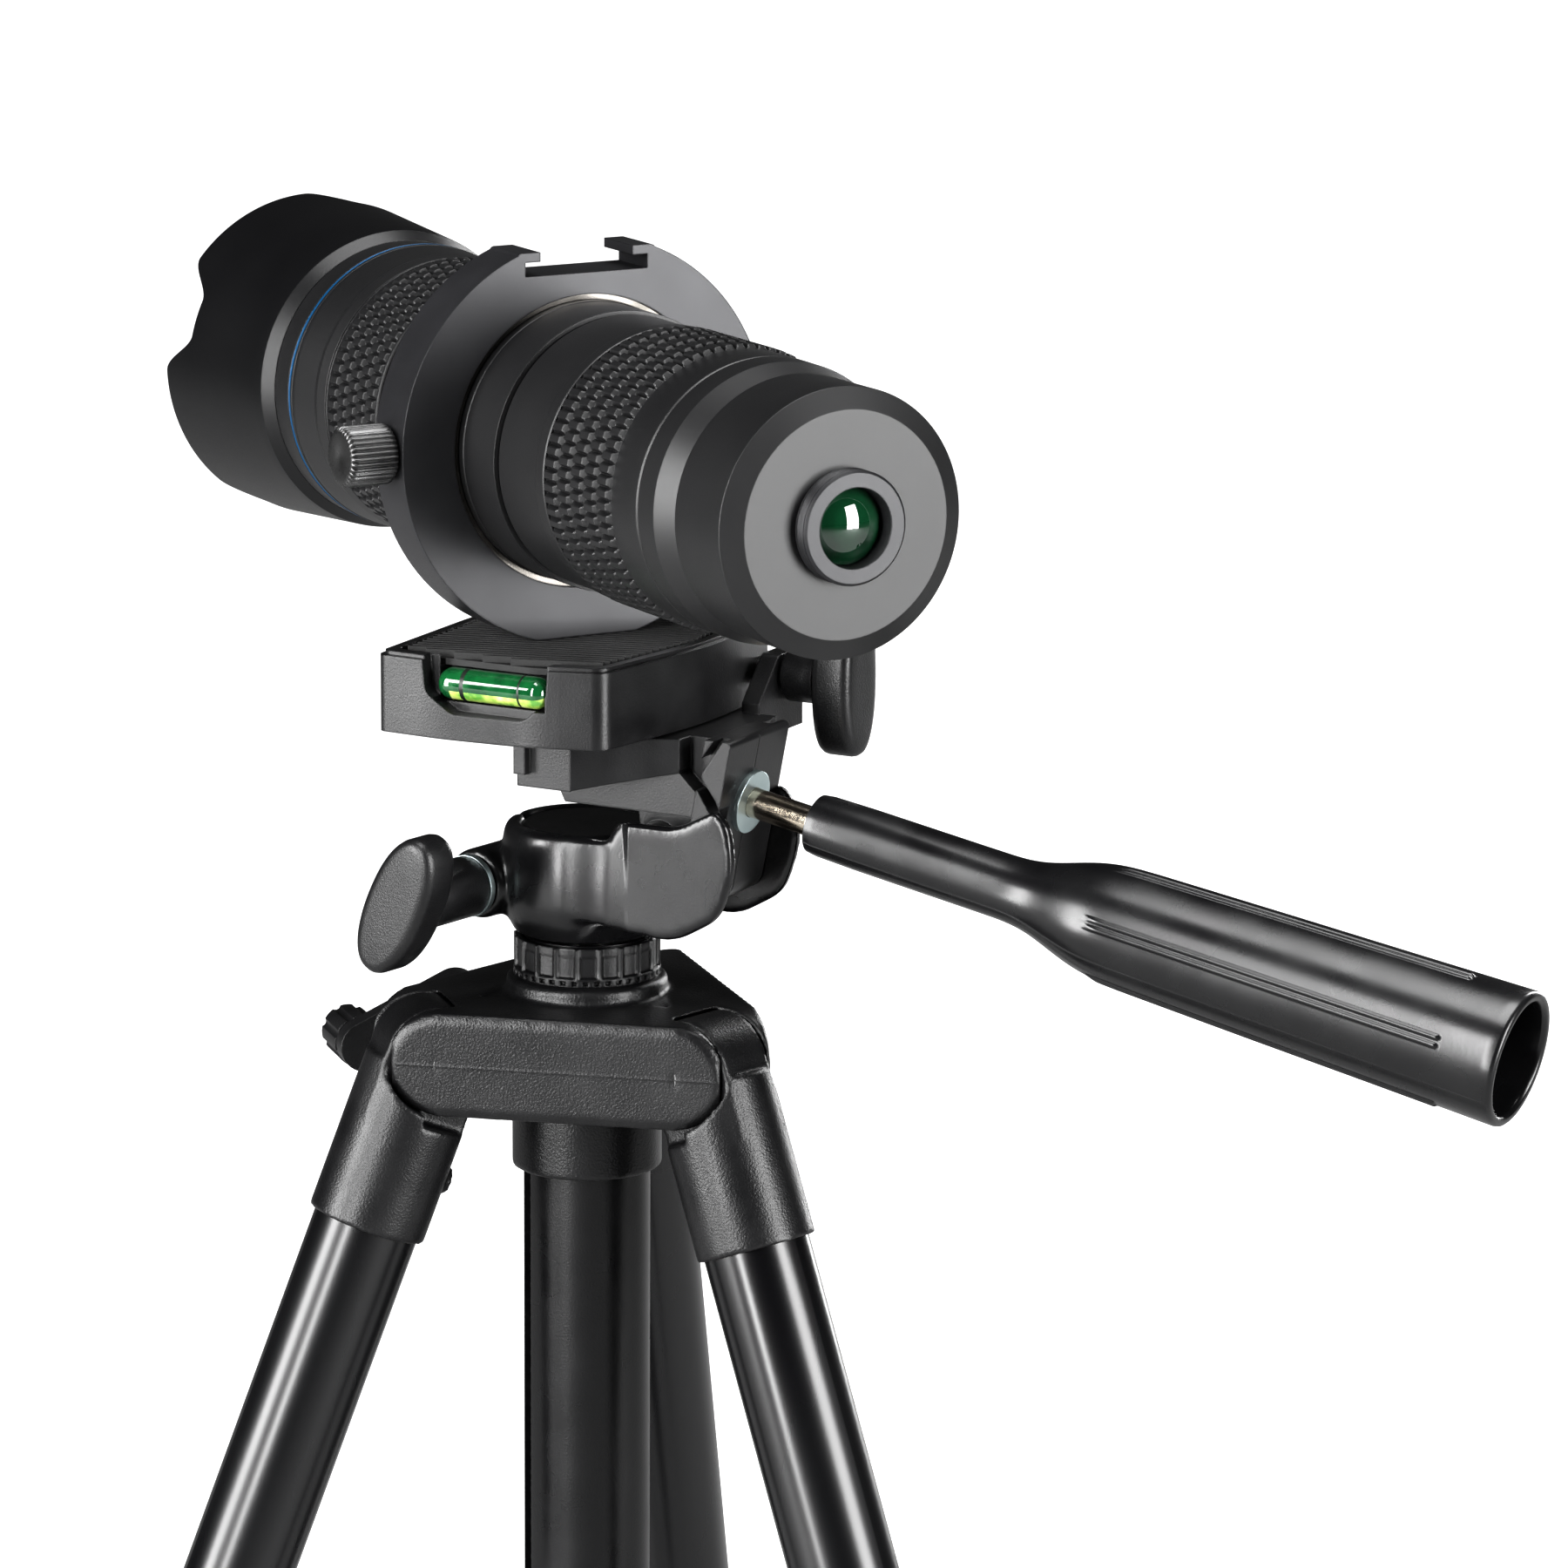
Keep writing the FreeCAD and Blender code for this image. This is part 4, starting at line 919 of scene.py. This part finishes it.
def housing_swell(co):
    """Bulged barrel walls running into cheeks that stand a little inside them."""
    p = TO_HEAD @ co
    radius = math.hypot(p.x, p.y)
    rise = (p.z - SEAM_H) / 9.0
    taper = 0.055 * rise * rise if rise > 0 else 0.030 * rise * rise
    if radius > 10.6 and p.y > -13.5:
        skin = smooth_step((radius - 10.6) / 1.8)
        grow = 1 - taper * skin
        p.x, p.y = p.x * grow, p.y * grow
    back = smooth_step((-p.y - 2.5) / 8.0)
    outer = smooth_step((abs(p.x) - 10.4) / 1.2)
    p.x -= math.copysign(1.5 * back * outer, p.x)
    return ON_HEAD @ p


def housing_seam():
    """Thin parting line round the front of the pan housing."""
    points = []
    for step in range(-24, 25):
        turn = math.radians(-66.0 + step * 5.0)
        points.append((Vector((math.cos(turn), math.sin(turn), 0.0)), SEAM_H))
    verts, faces = [], []
    for out, height in points:
        for away, rise in ((-0.2, -0.16), (0.07, -0.05), (0.07, 0.05), (-0.2, 0.16)):
            verts.append(tuple(out * (SEAM_R + away) + UP * (height + rise)))
    for i in range(len(points) - 1):
        for j in range(4):
            k = (j + 1) % 4
            faces.append((4 * i + j, 4 * i + k, 4 * i + 4 + k, 4 * i + 4 + j))
    return piece("seam", verts, faces, ON_HEAD, [MATS["gloss"]])


def pill_seams():
    """Thin parting lines along the shoulder's three bars."""
    beads = []
    for azimuth in (-131.4, -11.4, 108.6):
        turn = Matrix.Rotation(math.radians(azimuth), 3, "Z")
        line = [tuple(turn @ Vector((21.97, -25.3 + i * 5.06, 0.0))) for i in range(11)]
        beads.append(bead(line, 0.24, 0.10, turn @ Vector((1, 0, 0))))
    verts, faces = joined(beads)
    return piece("seam", verts, faces, ON_COLUMN, [MATS["casting"]])


softened("pan_housing_smooth", "pan_housing", "pan", MATS["gloss"], 0.40, 30, housing_seam(), housing_swell)
softened("shoulder_smooth", "shoulder_casting", "shoulder", MATS["casting"], 0.42, 5, pill_seams())
for side in ("right", "back", "left"):
    softened("leg_casting_smooth_" + side, "leg_casting_" + side, "leg_" + side, MATS["casting"], 0.42, 4)


# ---------------------------------------------------------------- camera, lights, floor
LENS_MM = 162.88
AIM, PITCH, ROLL = (math.radians(v) for v in (-29.77, 12.75, 0.356))
CAMERA_FROM_PIVOT = Vector((-0.50974, -0.95307, 0.24465 + 0.041))


def add_camera():
    data = bpy.data.cameras.new("camera")
    data.lens = LENS_MM
    data.sensor_width = 36.0
    data.clip_start = 0.05
    camera = bpy.data.objects.new("camera", data)
    bpy.context.scene.collection.objects.link(camera)
    d = Vector((-math.sin(AIM) * math.cos(PITCH), math.cos(AIM) * math.cos(PITCH), -math.sin(PITCH)))
    r0 = Vector((math.cos(AIM), math.sin(AIM), 0))
    u0 = r0.cross(d)
    r = r0 * math.cos(ROLL) + u0 * math.sin(ROLL)
    u = u0 * math.cos(ROLL) - r0 * math.sin(ROLL)
    m = Matrix((r, u, -d)).transposed().to_4x4()
    m.translation = Vector((COLUMN.x, COLUMN.y, PIVOT.z)) + CAMERA_FROM_PIVOT
    camera.matrix_world = m
    bpy.context.scene.camera = camera
    return r, d


RIGHT, AHEAD = add_camera()
TARGET = Vector((COLUMN.x, COLUMN.y, PIVOT.z + 0.02))


def softbox(name, right, rise, ahead, width, height, watts):
    """Area light placed by camera directions from the head, facing it."""
    data = bpy.data.lights.new(name, "AREA")
    data.shape = "RECTANGLE"
    data.size = width
    data.size_y = height
    data.energy = watts
    light = bpy.data.objects.new(name, data)
    bpy.context.scene.collection.objects.link(light)
    flat_ahead = Vector((AHEAD.x, AHEAD.y, 0)).normalized()
    place = TARGET + RIGHT * right + UP * rise + flat_ahead * ahead
    light.matrix_world = (TARGET - place).to_track_quat("-Z", "Y").to_matrix().to_4x4()
    light.matrix_world.translation = place
    return light


softbox("left_box", -0.95, 0.35, -1.25, 0.24, 1.7, 30.0)
softbox("far_left_box", -1.50, 0.15, -0.60, 0.50, 1.6, 44.0)
softbox("right_box", 1.45, 0.05, -0.95, 0.75, 1.8, 62.0)
softbox("top_box", 0.1, 1.6, -0.1, 1.3, 0.7, 26.0)
softbox("rim_right", 1.0, 0.3, 1.5, 0.25, 1.8, 20.0)


def add_world():
    """White behind the object, nearly black in its reflections."""
    world = bpy.data.worlds.new("studio")
    bpy.context.scene.world = world
    world.use_nodes = True
    nodes = world.node_tree.nodes
    links = world.node_tree.links
    nodes.clear()
    path = nodes.new("ShaderNodeLightPath")
    white = nodes.new("ShaderNodeBackground")
    white.inputs["Color"].default_value = (1, 1, 1, 1)
    white.inputs["Strength"].default_value = 1.0
    grey = nodes.new("ShaderNodeBackground")
    grey.inputs["Color"].default_value = (1, 1, 1, 1)
    grey.inputs["Strength"].default_value = 0.02
    mix = nodes.new("ShaderNodeMixShader")
    out = nodes.new("ShaderNodeOutputWorld")
    links.new(path.outputs["Is Camera Ray"], mix.inputs["Fac"])
    links.new(grey.outputs["Background"], mix.inputs[1])
    links.new(white.outputs["Background"], mix.inputs[2])
    links.new(mix.outputs["Shader"], out.inputs["Surface"])


add_world()


def add_floor():
    """Paper under the feet that the camera sees as white."""
    mesh = bpy.data.meshes.new("floor")
    half = 4.0
    outline = [(-half, -half, 0), (half, -half, 0), (half, half, 0), (-half, half, 0)]
    mesh.from_pydata(outline, [], [(0, 1, 2, 3)])
    shade = Shade("floor_paper", rough=0.8)
    patch = shade.noise(3.0, 2.0)
    shade.colour(shade.ramp(patch, [(0.3, (0.30, 0.30, 0.30)), (0.7, (0.33, 0.33, 0.33))]))
    shade.bsdf.inputs["Emission Color"].default_value = (1, 1, 1, 1)
    path = shade.nodes.new("ShaderNodeLightPath")
    glow = shade.nodes.new("ShaderNodeMath")
    glow.operation = "MULTIPLY"
    glow.inputs[1].default_value = 1.0
    shade.links.new(path.outputs["Is Camera Ray"], glow.inputs[0])
    shade.links.new(glow.outputs["Value"], shade.bsdf.inputs["Emission Strength"])
    mesh.materials.append(shade.mat)
    floor = bpy.data.objects.new("floor", mesh)
    bpy.context.scene.collection.objects.link(floor)


add_floor()

bpy.context.scene.view_settings.view_transform = "Standard"
bpy.context.scene.view_settings.look = "Medium High Contrast"
